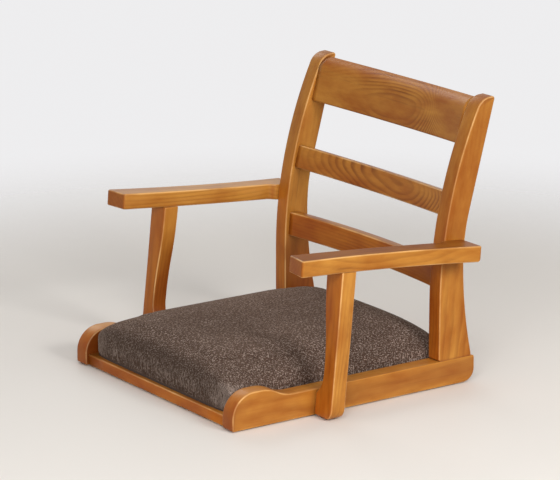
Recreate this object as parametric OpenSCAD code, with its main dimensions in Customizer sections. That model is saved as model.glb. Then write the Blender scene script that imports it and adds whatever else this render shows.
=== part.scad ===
// Wooden floor chair with arms: two side frames joined by slats and rails,
// and a crowned drop-in seat that rests just above the floor.
// X runs across the chair, Y runs from front to back, Z is up.
// Every height is counted from the underside of the timber, which pad_h lifts off the floor.

/* [Side frames] */
// Clear width between the side frames
seat_gap = 410; // [380:1:440]
// Thickness of the side rails and back posts
side_t = 30; // [26:1:34]
// Length of a side rail from front to back
rail_len = 485; // [470:1:500]
// Height of a side rail along the seat
rail_h = 44; // [40:1:48]
// Height of the raised front end of a side rail
nose_h = 60; // [54:1:66]
// Radius of the rail's front top corner
nose_r = 41; // [30:1:46]
// Length of the flat on top of the raised front end
nose_flat = 14; // [8:1:20]
// Length over which the raised end falls to the rail
nose_run = 63; // [50:1:80]
// Radius of the rail's rear bottom corner
heel_r = 22; // [14:1:30]
// Radius of the rail's rear top corner
heel_top_r = 4; // [2:1:6]

/* [Back posts] */
// Overall height of the back posts
post_top = 478.5; // [460:0.5:500]
// How far the rail end stands behind the post foot
post_heel = 6; // [3:1:10]
// Front-to-back size of the post foot
post_foot = 68.5; // [60:0.5:76]
// Lean of the back
lean = 15; // [12:0.5:18]
// Height at which the front of the post starts to lean
bend_front_z = 139; // [120:1:160]
// Radius of the long bend on the front of the post
bend_front_r = 745; // [700:5:820]
// Height of the narrowest place on the rear of the post
bend_rear_z = 210; // [200:5:220]
// Radius of the bend on the rear of the post
bend_rear_r = 320; // [280:10:360]
// Radius of the sweep from the narrowest place down to the foot
sweep_r = 720; // [650:10:800]
// Radius of the rounded front of the post top
crown_r = 28; // [20:1:34]
// Slope of the post top
crown_slope = 3; // [0:0.5:6]

/* [Back slats] */
// Thickness of a slat
slat_t = 20; // [16:1:22]
// How far the slats bow backwards at the middle
slat_bow = 16; // [10:1:22]
// Height of the lower slat's bottom edge
low_z = 164; // [150:1:180]
// Width of the lower slat
low_w = 42; // [34:1:50]
// Lean of the lower slat
low_lean = 5; // [2:1:8]
// Set-back of the lower slat behind the post front
low_set = 6.6; // [5:0.1:9]
// Height of the middle slat's bottom edge
mid_z = 285; // [275:1:295]
// Width of the middle slat
mid_w = 40; // [34:1:50]
// Set-back of the middle slat behind the post front
mid_set = 5.2; // [3:0.1:8]
// Distance of the top slat's bottom edge below the post top
top_drop = 79; // [77:0.5:90]
// Width of the top slat
top_w = 82.5; // [76:0.5:84]
// Set-back of the top slat behind the post front where its round begins
top_set = 0.7; // [0.4:0.1:3]
// Radius of the top slat's front top edge
top_round = 26; // [16:1:30]
// Length of a slat's tenon
tenon_len = 18; // [12:1:22]
// Thickness of a slat's tenon
tenon_t = 9; // [7:1:11]
// Shoulder above and below a tenon
tenon_shoulder = 6; // [4:1:9]
// Shoulder above the top slat's tenon, under the rounded post top
top_shoulder = 29; // [27:0.5:34]

/* [Arms] */
// Height of the arm's top face at the middle of the chair
arm_z = 262.5; // [250:0.5:275]
// Fall of the arm from front to back, in degrees
arm_fall = 4.7; // [3:0.1:6]
// Thickness of an arm
arm_t = 27; // [22:1:32]
// Width of an arm at its front end
arm_w = 46; // [42:1:52]
// Distance of an arm's front end from the side frame's face
arm_out = 7; // [4:1:10]
// Distance of the arm's front end behind the rail's front end
arm_back = 97; // [85:1:105]
// Distance of the arm's rear end in front of the post's rear
arm_end_set = 3.5; // [2:0.5:6]
// Inward bow of the arm's outer edge
arm_outer_bow = 11; // [6:1:14]
// Inward bow of the arm's inner edge
arm_inner_bow = 4; // [2:1:5]
// Length of the cheek that brings the arm in to the post
cheek_run = 18; // [12:1:24]
// Rounding of the arm's corners in plan
arm_corner = 4; // [2:1:6]

/* [Arm supports] */
// Distance of the support's foot behind the arm's front end
sup_back = 59.5; // [50:0.5:70]
// Depth of a support from front to back
sup_d = 27.5; // [24:0.5:32]
// Backward lean of a support, in degrees
sup_lean = 6.1; // [3:0.1:8]
// Distance of the support's foot in from the arm's outer corner
sup_set = 7; // [5:1:10]
// How much the support narrows towards its top
sup_taper = 2.6; // [0:0.1:4]
// Distance of the support's inner face from the side frame at the waist
sup_waist = 15.5; // [12:0.5:18]
// Height of the waist
waist_z = 72; // [68:1:80]
// Radius of the hollow under the waist
waist_r = 45; // [40:1:50]
// Radius of the foot's outer bottom corner
sup_round = 18; // [12:1:20]

/* [Seat frame] */
// Height of the front and middle rails
cross_h = 19; // [16:1:22]
// Depth of the front rail
front_d = 60; // [50:1:70]
// Set-back of the front rail behind the ends of the side rails
front_set = 5; // [3:1:8]
// Depth of the middle rail
middle_d = 60; // [50:1:70]
// Thickness of the rear rail
rear_t = 20; // [18:1:22]
// Set-back of the rear rail from the ends of the side rails
rear_set = 8; // [6:1:12]
// Width of a seat cleat
cleat_w = 19; // [16:1:22]

/* [Seat] */
// Thickness of the seat panel
panel_t = 12; // [9:1:15]
// Gap between the seat and the side frames
seat_side = 2; // [1.5:0.1:3]
// Set-back of the seat behind the face of the front rail
seat_front = 5.5; // [4:0.5:8]
// Gap between the seat and the rear rail
seat_rear = 4; // [2:0.5:6]
// Height at which the cover starts to round over
shoulder_z = 50; // [44:1:56]
// Height of the seat's crown
crown_z = 100; // [90:1:110]
// How far the long sides of the seat draw in
draw_in = 2; // [1:0.1:3]
// Corner fullness taken off in plan, as a share of the half width
corner_cut = 0.03; // [0.02:0.005:0.04]
// Thickness of the cover
cover_t = 2; // [1.5:0.1:3]

/* [Fastenings and feet] */
// Diameter of the small dowels
dowel_d = 8; // [6:1:10]
// Length of the small dowels
dowel_len = 36; // [30:1:40]
// Diameter of the dowels under the posts
post_dowel_d = 10; // [8:1:12]
// Length of the dowels under the posts
post_dowel_len = 50; // [40:1:60]
// Length of the screws that hold a support
sup_screw_len = 52; // [46:1:58]
// Shank diameter of the screws that hold a support
sup_screw_d = 5; // [4:0.5:6]
// Shank diameter of the small screws
screw_d = 4; // [3:0.5:5]
// Length of the screws in the cleats
cleat_screw_len = 36; // [30:1:42]
// Length of the screws that hold the seat
seat_screw_len = 27; // [24:1:29]
// Thickness of the floor pads
pad_h = 1.5; // [1:0.1:3]
// Length of a felt pad under a rail
pad_len = 60; // [40:1:80]
// Width of a felt pad under a rail
pad_w = 20; // [14:1:24]

/* [Hidden] */

// Half the clear width, and the outer face of the side frames
half_gap = seat_gap / 2;
side_x = half_gap + side_t;
// The depth from the rail's front end to the rear corner of the post top is centred on the origin
sweep_a = asin((bend_rear_z - rail_h) / sweep_r);
sweep_in = sweep_r * (1 - cos(sweep_a));
lean_out = bend_rear_r * (1 - cos(lean)) + (post_top - bend_rear_z - bend_rear_r * sin(lean)) * tan(lean);
rail_front = -(rail_len - post_heel - sweep_in + lean_out) / 2;
rail_rear = rail_front + rail_len;
// Clearance of a sliding fit, of a glued tenon and of soft pieces
fit = 0.1;
glue = 0.2;
soft_gap = 0.3;
// Overrun of a cutting shape past the face that it cuts
over = 1;
// Number of steps along a drawn arc
arc_n = 16;
// Fineness of round pieces and of the slats' large curve
round_fn = 48;
bow_fn = 360;
timber = [0.72, 0.43, 0.18];
timber_dark = [0.6, 0.34, 0.14];
felt = [0.16, 0.13, 0.11];
steel = [0.68, 0.68, 0.66];
beech = [0.86, 0.72, 0.52];
tweed = [0.36, 0.3, 0.27];

function arc(c, r, a0, a1, n = arc_n) =
    [for (i = [0 : n]) let (a = a0 + (a1 - a0) * i / n) [c[0] + r * cos(a), c[1] + r * sin(a)]];

// Mirrors a right-hand piece to the left for side -1
module hand(side) {
    mirror([side < 0 ? 1 : 0, 0, 0]) translate([0, 0, pad_h]) children();
}

// Carries a profile drawn in Y and Z from x0 over a thickness t
module plate(x0, t) {
    translate([x0, 0, 0]) rotate([90, 0, 90]) linear_extrude(t) children();
}

// A cylinder along X that starts at x0
module rod_x(x0, len, d) {
    translate([x0, 0, 0]) rotate([0, 90, 0]) cylinder(h = len, d = d, $fn = round_fn);
}

// Side rail: a flat bar with a raised rounded front and a rounded heel
nose_top_end = rail_front + nose_r + nose_flat;
nose_end = nose_top_end + nose_run;
nose_rise = nose_h - rail_h;
nose_s_r = (nose_run * nose_run + nose_rise * nose_rise) / (4 * nose_rise);
nose_s_a = 2 * atan(nose_rise / nose_run);

module rail_profile() {
    polygon(concat(
        [[rail_front, 0]],
        arc([rail_rear - heel_r, heel_r], heel_r, -90, 0),
        arc([rail_rear - heel_top_r, rail_h - heel_top_r], heel_top_r, 0, 90, 6),
        arc([nose_end, rail_h + nose_s_r], nose_s_r, -90, -90 - nose_s_a),
        arc([nose_top_end, nose_h - nose_s_r], nose_s_r, 90 - nose_s_a, 90),
        arc([rail_front + nose_r, nose_h - nose_r], nose_r, 90, 180)
    ));
}

module side_rail(side) {
    color(timber) hand(side) difference() {
        plate(half_gap, side_t) rail_profile();
        rail_dowel_set(fit);
        post_dowel_set(fit);
        cleat_screw_set(fit);
        support_screw_set(fit);
    }
}

// Back post: front and rear outlines as straight lines and arcs that meet smoothly
post_rear = rail_rear - post_heel;
post_front = post_rear - post_foot;
post_waist = post_rear - sweep_in;
post_tip = [post_waist + lean_out, post_top];
// The top runs down from its rear corner, and a round joins it to the long bend of the front
bend_centre = [post_front + bend_front_r, bend_front_z];
top_along = [cos(crown_slope), sin(crown_slope)];
top_inward = [sin(crown_slope), -cos(crown_slope)];
// The widest round that leaves a stretch of flat top behind it
crown_flat = 2;
flat_front = post_tip - crown_flat * top_along - bend_centre;
crown_limit = (pow(bend_front_r, 2) - flat_front * flat_front) / (2 * (flat_front * top_inward + bend_front_r));
crown_fit_r = min(crown_r, crown_limit);
// The round's centre lies this far along the top from its rear corner
crown_rear = post_tip + crown_fit_r * top_inward - bend_centre;
crown_run = crown_rear * top_along
    + sqrt(pow(crown_rear * top_along, 2) - crown_rear * crown_rear + pow(bend_front_r - crown_fit_r, 2));
crown_centre = bend_centre + crown_rear - crown_run * top_along;
// How far the front has turned where it meets the round
front_turn = asin((crown_centre[1] - bend_front_z) / (bend_front_r - crown_fit_r));

// Place of the post's front outline at height z
function post_front_at(z) =
    z < bend_front_z ? post_front : bend_centre[0] - sqrt(pow(bend_front_r, 2) - pow(z - bend_front_z, 2));

// The top slat hangs from the post top, and its flat face comes near the post's front where its round begins
top_z = post_top - top_drop;
top_face = top_w - top_round;
top_back = post_front_at(top_z + top_face * cos(lean)) - top_face * sin(lean) - post_front_at(top_z) + top_set;

module post_profile() {
    polygon(concat(
        [[post_front, rail_h]],
        arc(bend_centre, bend_front_r, 180, 180 - front_turn),
        arc(crown_centre, crown_fit_r, 180 - front_turn, 90 + crown_slope),
        [post_tip],
        arc([post_waist + bend_rear_r, bend_rear_z], bend_rear_r, 180 - lean, 180),
        arc([post_waist + sweep_r, bend_rear_z], sweep_r, 180, 180 + sweep_a)
    ));
}

module back_post(side) {
    color(timber) hand(side) difference() {
        plate(half_gap, side_t) post_profile();
        post_dowel_set(fit);
        arm_dowel_set(fit);
        slat_tenon(low_z, low_w, low_lean, low_set, tenon_shoulder, glue);
        slat_tenon(mid_z, mid_w, lean, mid_set, tenon_shoulder, glue);
        slat_tenon(top_z, top_w, lean, top_back, top_shoulder, glue);
    }
}

// Slats: boards bent to one large radius, with a tenon at each end
bow_r = (half_gap * half_gap + slat_bow * slat_bow) / (2 * slat_bow);
bow_centre = -sqrt(bow_r * bow_r - half_gap * half_gap);
bow_half = asin((half_gap + tenon_len + over) / bow_r);

// Carries a section drawn as distance from the front face and height along the bow
module bent(z, tilt, set) {
    translate([0, post_front_at(z) + set, z]) rotate([-tilt, 0, 0]) translate([0, bow_centre, 0])
        rotate([0, 0, 90 - bow_half]) rotate_extrude(angle = 2 * bow_half, $fn = bow_fn)
            translate([bow_r, 0]) children();
}

// Both tenons of a slat as one bar; gap widens it into their mortises
module slat_tenon(z, w, tilt, set, upper, gap) {
    reach = half_gap + tenon_len + gap;
    root = (slat_t - tenon_t) / 2;
    intersection() {
        bent(z, tilt, set) translate([root - gap, tenon_shoulder - gap])
            square([tenon_t + 2 * gap, w - tenon_shoulder - upper + 2 * gap]);
        translate([-reach, -rail_len, 0]) cube([2 * reach, 2 * rail_len, 2 * post_top]);
    }
}

// A round wider than the board starts where it meets the rear face
module slat_section(w, r) {
    start = r > slat_t ? acos((slat_t - r) / r) : 90;
    polygon(concat(
        [[0, 0], [slat_t, 0]],
        r < slat_t ? [[slat_t, w]] : [],
        r > 0 ? arc([r, w - r], r, start, 180, 12) : [[0, w]]
    ));
}

module slat(z, w, tilt, set, upper = tenon_shoulder, r = 0) {
    shoulder = half_gap - fit;
    color(timber) translate([0, 0, pad_h]) union() {
        intersection() {
            bent(z, tilt, set) slat_section(w, r);
            translate([-shoulder, -rail_len, 0]) cube([2 * shoulder, 2 * rail_len, 2 * post_top]);
        }
        slat_tenon(z, w, tilt, set, upper, 0);
    }
}

module lower_slat() {
    slat(low_z, low_w, low_lean, low_set);
}

module middle_slat() {
    slat(mid_z, mid_w, lean, mid_set);
}

module top_slat() {
    slat(top_z, top_w, lean, top_back, top_shoulder, top_round);
}

// Arm: a slightly bowed bar that falls to the rear and lies against the outside of the post
arm_in_x = side_x + arm_out;
arm_out_x = arm_in_x + arm_w;
arm_front = rail_front + arm_back;
arm_rear = post_waist - arm_end_set;
// The front end is square to the arm's outward flare
arm_skew = 7;
arm_front_in = arm_front + arm_skew;
// The cheek meets the side frame just behind the front of the post
cheek_lap = 1;
cheek_end = post_front_at(arm_z - arm_t) + cheek_lap;
cheek_start = cheek_end - cheek_run;
cheek_r = (cheek_run * cheek_run + arm_out * arm_out) / (4 * arm_out);
cheek_a = 2 * atan(arm_out / cheek_run);
outer_half = (arm_rear - arm_front) / 2 - arm_corner;
outer_r = (outer_half * outer_half + arm_outer_bow * arm_outer_bow) / (2 * arm_outer_bow);
outer_a = asin(outer_half / outer_r);
inner_half = (cheek_start - arm_front_in - arm_corner) / 2;
inner_r = (inner_half * inner_half + arm_inner_bow * arm_inner_bow) / (2 * arm_inner_bow);
inner_a = asin(inner_half / inner_r);

module arm_place() {
    translate([0, 0, arm_z]) rotate([-arm_fall, 0, 0]) children();
}

module arm_outline() {
    c = arm_corner;
    polygon(concat(
        arc([arm_in_x + c, arm_front_in + c], c, 180, 270, 6),
        arc([arm_out_x - c, arm_front + c], c, 270, 360, 6),
        arc([arm_out_x - arm_outer_bow + outer_r, (arm_front + arm_rear) / 2], outer_r, 180 + outer_a, 180 - outer_a),
        arc([arm_out_x - c, arm_rear - c], c, 0, 90, 6),
        [[side_x, arm_rear]],
        arc([side_x + cheek_r, cheek_end], cheek_r, 180, 180 + cheek_a, 8),
        arc([arm_in_x - cheek_r, cheek_start], cheek_r, cheek_a, 0, 8),
        arc([arm_in_x - arm_inner_bow + inner_r, cheek_start - inner_half], inner_r, 180 - inner_a, 180 + inner_a)
    ));
}

module armrest(side) {
    color(timber) hand(side) difference() {
        arm_place() translate([0, 0, -arm_t]) linear_extrude(arm_t) arm_outline();
        arm_dowel_set(fit);
        support_dowel_set(fit);
    }
}

// Arm support: a leaning upright whose inner face sweeps in to a waist, its foot against the side rail
sup_y = arm_front + sup_back;
sup_out_x = arm_out_x - sup_set;
sup_top = arm_z;
// Rounding of the foot's front and rear bottom edges, and of its inner bottom edge
sup_corner = 6;
sup_heel = 8;
// Distance of the support's inner face from the side frame under the arm
sup_crown = 0.5;
// Two equal arcs that meet smoothly lead from there to the waist, and a third one to the side rail
sweep_top = arm_z - arm_t;
sweep_run = sweep_top - waist_z;
sweep_rise = sup_waist - sup_crown;
sup_sweep_r = (sweep_run * sweep_run + sweep_rise * sweep_rise) / (4 * sweep_rise);
sup_sweep_a = 2 * atan(sweep_rise / sweep_run);
waist_low_a = acos((waist_r - sup_waist) / waist_r);
// Place of the support's middle at height z
function sup_mid_at(z) = sup_y + sup_d / 2 + z * tan(sup_lean);

module sup_front_view() {
    polygon(concat(
        arc([side_x + sup_heel, sup_heel], sup_heel, 180, 270, 6),
        arc([sup_out_x - sup_round, sup_round], sup_round, 270, 360, 12),
        [[sup_out_x - sup_taper, sup_top], [side_x + sup_crown, sup_top]],
        arc([side_x + sup_crown + sup_sweep_r, sweep_top], sup_sweep_r, 180, 180 + sup_sweep_a),
        arc([side_x + sup_waist - sup_sweep_r, waist_z], sup_sweep_r, sup_sweep_a, 0),
        arc([side_x + sup_waist - waist_r, waist_z], waist_r, 0, -waist_low_a)
    ));
}

module sup_side_view() {
    shift = sup_top * tan(sup_lean);
    polygon(concat(
        arc([sup_y + sup_corner, sup_corner], sup_corner, 180, 270, 6),
        arc([sup_y + sup_d - sup_corner, sup_corner], sup_corner, 270, 360, 6),
        [[sup_y + sup_d + shift, sup_top], [sup_y + shift, sup_top]]
    ));
}

module arm_support(side) {
    color(timber_dark) hand(side) difference() {
        intersection() {
            translate([0, sup_y + 2 * sup_top, 0]) rotate([90, 0, 0]) linear_extrude(3 * sup_top) sup_front_view();
            plate(side_x - over, sup_out_x - side_x + 2 * over) sup_side_view();
        }
        arm_place() translate([0, -rail_len, -arm_t]) cube([2 * side_x, 2 * rail_len, 2 * arm_t]);
        support_dowel_set(fit);
        support_screw_set(fit);
    }
}

// Seat frame: a front and a middle rail laid flat, an upright rear rail, and cleats along the sides
front_y = rail_front + front_set;
rear_y = rail_rear - rear_set - rear_t;
middle_y = (front_y + rear_y) / 2;

// A bar between the side frames
module cross_bar(y, d, h) {
    translate([fit - half_gap, y, 0]) cube([seat_gap - 2 * fit, d, h]);
}

// Both hands of a set of fastenings or holes
module both() {
    children();
    mirror([1, 0, 0]) children();
}

module front_rail() {
    color(timber) translate([0, 0, pad_h]) difference() {
        cross_bar(front_y, front_d, cross_h);
        both() rail_dowel_set(fit);
        both() seat_screw_set(fit);
    }
}

module middle_rail() {
    color(timber) translate([0, 0, pad_h]) difference() {
        cross_bar(middle_y - middle_d / 2, middle_d, cross_h);
        both() rail_dowel_set(fit);
        both() seat_screw_set(fit);
    }
}

module rear_rail() {
    color(timber) translate([0, 0, pad_h]) difference() {
        cross_bar(rear_y, rear_t, rail_h);
        both() rail_dowel_set(fit);
    }
}

cleat_spans = [
    [front_y + front_d + fit, middle_y - middle_d / 2 - fit],
    [middle_y + middle_d / 2 + fit, rear_y - fit]
];

module seat_cleats() {
    color(beech) translate([0, 0, pad_h]) both() difference() {
        for (span = cleat_spans)
            translate([half_gap - cleat_w, span[0], 0]) cube([cleat_w, span[1] - span[0], cross_h]);
        cleat_screw_set(fit);
        seat_screw_set(fit);
    }
}

// Seat: a plywood panel and a crowned foam under one cover
seat_x = half_gap - seat_side;
seat_y0 = front_y + seat_front;
seat_y1 = rear_y - seat_rear;
seat_yc = (seat_y0 + seat_y1) / 2;
seat_l = (seat_y1 - seat_y0) / 2;
foam_inset = cover_t + soft_gap;
// Sharpness of the crown's shoulders along the sides and at the ends, and of the corners in plan
side_power = 3;
side_fall = 0.45;
end_power = 6;
end_fall = 0.3;
corner_power = 10;
// Half the number of grid steps on the cover and on the foam
crown_n = 10;

// Place in plan of the surface point s, t, each from -1 to 1, moved in by an inset
function seat_xy(s, t, inset) = let (k = 1 - corner_cut * pow(abs(s * t), corner_power)) [
    (seat_x - inset) * s * k - draw_in * s * pow(abs(s), 3) * (1 - t * t),
    seat_yc + (seat_l - inset) * t * k
];

// Height of the surface point s, t
function seat_z(s, t, inset) = shoulder_z - inset
    + (crown_z - shoulder_z) * pow(1 - pow(abs(s), side_power), side_fall) * pow(1 - pow(abs(t), end_power), end_fall);

// Grid steps that grow finer towards the edges
function even(i, n) = sin(90 * i / n);

function crown_points(inset, n = crown_n) =
    [for (j = [-n : n]) for (i = [-n : n]) let (s = even(i, n), t = even(j, n), p = seat_xy(s, t, inset))
        [p[0], p[1], seat_z(s, t, inset)]];

// Indices of the rim of an m by m grid, taken round from the front left corner
function rim(m) = concat(
    [for (i = [0 : m - 2]) i],
    [for (j = [0 : m - 2]) m - 1 + j * m],
    [for (i = [0 : m - 2]) m * m - 1 - i],
    [for (j = [0 : m - 2]) (m - 1 - j) * m]
);

function rim_points(inset, z) =
    let (p = crown_points(inset)) [for (k = rim(2 * crown_n + 1)) [p[k][0], p[k][1], z]];

// Triangles of the grid's top, and of the wall from its rim down to a ring of points
function top_faces(m, at) = [for (j = [0 : m - 2]) for (i = [0 : m - 2]) let (a = at + i + j * m)
    each [[a, a + m, a + m + 1], [a, a + m + 1, a + 1]]];
function wall_faces(m, at, ring) = let (r = rim(m), c = len(r)) [for (k = [0 : c - 1]) let (l = (k + 1) % c)
    each [[at + r[k], at + r[l], ring + l], [at + r[k], ring + l, ring + k]]];
function turned(faces) = [for (f = faces) [f[0], f[2], f[1]]];

module seat_panel() {
    color(beech) translate([0, 0, pad_h]) difference() {
        translate([0, 0, cross_h]) linear_extrude(panel_t)
            polygon([for (p = rim_points(foam_inset, 0)) [p[0], p[1]]]);
        both() seat_screw_set(fit);
    }
}

module seat_foam() {
    m = 2 * crown_n + 1;
    base = cross_h + panel_t + soft_gap;
    ring = m * m;
    c = 4 * (m - 1);
    color([0.9, 0.86, 0.7]) translate([0, 0, pad_h]) polyhedron(
        concat(crown_points(foam_inset), rim_points(foam_inset, base), [[0, seat_yc, base]]),
        concat(
            top_faces(m, 0),
            wall_faces(m, 0, ring),
            [for (k = [0 : c - 1]) [ring + k, ring + (k + 1) % c, ring + c]]
        )
    );
}

module seat_cover() {
    m = 2 * crown_n + 1;
    base = cross_h + soft_gap;
    c = 4 * (m - 1);
    ring = m * m;
    inner = ring + c;
    inner_ring = inner + m * m;
    color(tweed) translate([0, 0, pad_h]) polyhedron(
        concat(
            crown_points(0), rim_points(0, base),
            crown_points(cover_t), rim_points(cover_t, base)
        ),
        concat(
            top_faces(m, 0),
            wall_faces(m, 0, ring),
            turned(top_faces(m, inner)),
            turned(wall_faces(m, inner, inner_ring)),
            [for (k = [0 : c - 1]) let (l = (k + 1) % c)
                each [[ring + k, ring + l, inner_ring + l], [ring + k, inner_ring + l, inner_ring + k]]]
        )
    );
}

// Dowels: where they stand, as rods for the dowels and wider ones for their holes
dowel_in = 16;
// Distance of a dowel from the edge of its rail, and spacing of the pairs in the posts, arms and supports
rail_dowel_edge = 14;
pair_gap = 20;
post_dowel_edge = 17;
arm_dowel_edge = 9;
sup_dowel_edge = 12;
rail_dowel_y = [
    front_y + rail_dowel_edge, front_y + front_d - rail_dowel_edge,
    middle_y - middle_d / 2 + rail_dowel_edge, middle_y + middle_d / 2 - rail_dowel_edge
];
rear_dowel_z = [rail_h / 4, rail_h * 3 / 4];
post_dowel_y = [post_front + post_dowel_edge, post_front + post_dowel_edge + pair_gap];
arm_dowel_y = [cheek_end + arm_dowel_edge, cheek_end + arm_dowel_edge + pair_gap];
sup_dowel_x = [side_x + sup_dowel_edge, side_x + sup_dowel_edge + pair_gap];

module rail_dowel_set(gap) {
    x0 = half_gap + dowel_in - dowel_len - gap;
    for (y = rail_dowel_y) translate([0, y, cross_h / 2]) rod_x(x0, dowel_len + 2 * gap, dowel_d + 2 * gap);
    for (z = rear_dowel_z)
        translate([0, rear_y + rear_t / 2, z]) rod_x(x0, dowel_len + 2 * gap, dowel_d + 2 * gap);
}

module post_dowel_set(gap) {
    for (y = post_dowel_y)
        translate([half_gap + side_t / 2, y, rail_h - post_dowel_len / 2 - gap])
            cylinder(h = post_dowel_len + 2 * gap, d = post_dowel_d + 2 * gap, $fn = round_fn);
}

module arm_dowel_set(gap) {
    for (y = arm_dowel_y)
        translate([0, y, arm_z - arm_t / 2 - y * tan(arm_fall)])
            rod_x(side_x - dowel_in - gap, dowel_len + 2 * gap, dowel_d + 2 * gap);
}

module support_dowel_set(gap) {
    for (x = sup_dowel_x)
        arm_place() translate([x, sup_mid_at(arm_z - arm_t), dowel_in - arm_t - dowel_len - gap])
            cylinder(h = dowel_len + 2 * gap, d = dowel_d + 2 * gap, $fn = round_fn);
}

module rail_dowels() {
    color(beech) translate([0, 0, pad_h]) both() rail_dowel_set(0);
}

module post_dowels() {
    color(beech) translate([0, 0, pad_h]) both() post_dowel_set(0);
}

module arm_dowels() {
    color(beech) translate([0, 0, pad_h]) both() arm_dowel_set(0);
}

module support_dowels() {
    color(beech) translate([0, 0, pad_h]) both() support_dowel_set(0);
}

// Countersunk screw along Z, its head flush with z = 0 and its point up; gap widens it into a hole
module screw(d, len, gap = 0) {
    head = 2 * d;
    drive = d * 2 / 3;
    difference() {
        union() {
            cylinder(h = d / 2, d1 = head + 2 * gap, d2 = d + 2 * gap, $fn = round_fn);
            cylinder(h = len - d + gap, d = d + 2 * gap, $fn = round_fn);
            translate([0, 0, len - d + gap]) cylinder(h = d, d1 = d + 2 * gap, d2 = d / 4, $fn = round_fn);
        }
        if (gap == 0) translate([0, 0, -over]) cylinder(h = d / 2 + over, d = drive, $fn = 6);
    }
}

sup_screw_z = rail_h * 3 / 4;
sup_screw_side = 7;
cleat_screw_in = 30;
seat_screw_in = cleat_w * 2 / 3;
seat_screw_x = 120;
cleat_screw_y = [
    cleat_spans[0][0] + cleat_screw_in, cleat_spans[0][1] - cleat_screw_in,
    cleat_spans[1][0] + cleat_screw_in, cleat_spans[1][1] - cleat_screw_in
];
seat_screw_spots = [
    [half_gap - seat_screw_in, (cleat_spans[0][0] + cleat_spans[0][1]) / 2],
    [half_gap - seat_screw_in, (cleat_spans[1][0] + cleat_spans[1][1]) / 2],
    [seat_screw_x, front_y + front_d / 2],
    [seat_screw_x, middle_y]
];

module support_screw_set(gap = 0) {
    for (s = [-1, 1])
        translate([half_gap, sup_mid_at(sup_screw_z) + s * sup_screw_side, sup_screw_z])
            rotate([0, 90, 0]) screw(sup_screw_d, sup_screw_len, gap);
}

module cleat_screw_set(gap = 0) {
    for (y = cleat_screw_y)
        translate([half_gap - cleat_w, y, cross_h / 2]) rotate([0, 90, 0]) screw(screw_d, cleat_screw_len, gap);
}

module seat_screw_set(gap = 0) {
    for (p = seat_screw_spots) translate([p[0], p[1], 0]) screw(screw_d, seat_screw_len, gap);
}

module support_screws() {
    color(steel) translate([0, 0, pad_h]) both() support_screw_set();
}

module cleat_screws() {
    color(steel) translate([0, 0, pad_h]) both() cleat_screw_set();
}

module seat_screws() {
    color(steel) translate([0, 0, pad_h]) both() seat_screw_set();
}

// Felt pads under the side rails and glides under the arm supports
pad_in = 15;
glide_in = sup_heel;
glide_out = sup_round;
pad_y = [rail_front + pad_in, rail_rear - heel_r - pad_in - pad_len];

module rail_pads() {
    color(felt) both() for (y = pad_y)
        translate([half_gap + (side_t - pad_w) / 2, y, 0]) cube([pad_w, pad_len, pad_h]);
}

module foot_glides() {
    color(felt) both() translate([side_x + glide_in, sup_y + sup_corner, 0])
        cube([sup_out_x - side_x - glide_in - glide_out, sup_d - 2 * sup_corner, pad_h]);
}

side_rail(-1);  // side_rail_left
side_rail(1);  // side_rail_right
back_post(-1);  // back_post_left
back_post(1);  // back_post_right
lower_slat();
middle_slat();
top_slat();
armrest(-1);  // armrest_left
armrest(1);  // armrest_right
arm_support(-1);  // arm_support_left
arm_support(1);  // arm_support_right
front_rail();
middle_rail();
rear_rail();
seat_cleats();
seat_panel();
seat_foam();
seat_cover();
rail_dowels();
post_dowels();
arm_dowels();
support_dowels();
support_screws();
cleat_screws();
seat_screws();
rail_pads();
foot_glides();
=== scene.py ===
import math

import bmesh
import bpy
import numpy as np
from bpy.props import FloatProperty, FloatVectorProperty, PointerProperty
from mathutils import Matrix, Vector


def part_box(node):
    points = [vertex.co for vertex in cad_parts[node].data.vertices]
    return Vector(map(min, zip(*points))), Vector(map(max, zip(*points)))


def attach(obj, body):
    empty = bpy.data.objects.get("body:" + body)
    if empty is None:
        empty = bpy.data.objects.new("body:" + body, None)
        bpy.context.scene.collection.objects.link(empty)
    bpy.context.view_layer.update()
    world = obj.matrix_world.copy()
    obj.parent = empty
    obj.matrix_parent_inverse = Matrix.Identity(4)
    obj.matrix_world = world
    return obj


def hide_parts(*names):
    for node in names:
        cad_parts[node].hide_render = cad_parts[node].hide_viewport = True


bl_info = {
    "name": "Floor chair with arms",
    "version": (1, 0, 0),
    "blender": (4, 5, 0),
    "location": "3D View > Sidebar > Floor chair",
    "description": "Dresses the frame of a legless timber floor chair: lacquered wood, tweed seat and stage",
    "category": "Add Mesh",
}

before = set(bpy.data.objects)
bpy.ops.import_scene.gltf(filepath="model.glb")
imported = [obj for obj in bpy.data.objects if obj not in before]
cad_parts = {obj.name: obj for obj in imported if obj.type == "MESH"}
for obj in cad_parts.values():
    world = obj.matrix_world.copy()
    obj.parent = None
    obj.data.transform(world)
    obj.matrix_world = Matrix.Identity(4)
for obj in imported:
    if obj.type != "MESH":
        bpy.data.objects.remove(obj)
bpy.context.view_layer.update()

# Boxes of the frame's pieces, which give the places of everything that follows
rail_low, rail_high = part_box("side_rail_right")
post_low, post_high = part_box("back_post_right")
LIFT = rail_low.z
INNER_X = rail_low.x
OUTER_X = rail_high.x
RAIL_FRONT = rail_low.y
RAIL_REAR = rail_high.y
RAIL_H = post_low.z - LIFT
NOSE_H = rail_high.z - LIFT
POST_TOP = post_high.z - LIFT
# Room that a piece leaves to the one it is set against
SET = 0.0001
# Longest step of an arc, in degrees and in metres, and the number of steps of a rounded edge
ARC_STEP = 4.0
ARC_RUN = 0.012
RIM_STEPS = 5
# Width of the flat border that a board's faces keep inside their rounded edges
BORDER = 0.0003
# Points nearer to each other than this are one
SAME = 1e-6
# A corner's arc takes the points that lie within this many reaches of it, of so many looked at
REACH = 1.05
LOOK = 8


def size(name, text, value):
    """A length in metres, as a property."""
    return FloatProperty(name=name, description=text, default=value, min=0.0, unit="LENGTH", precision=4)


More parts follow.
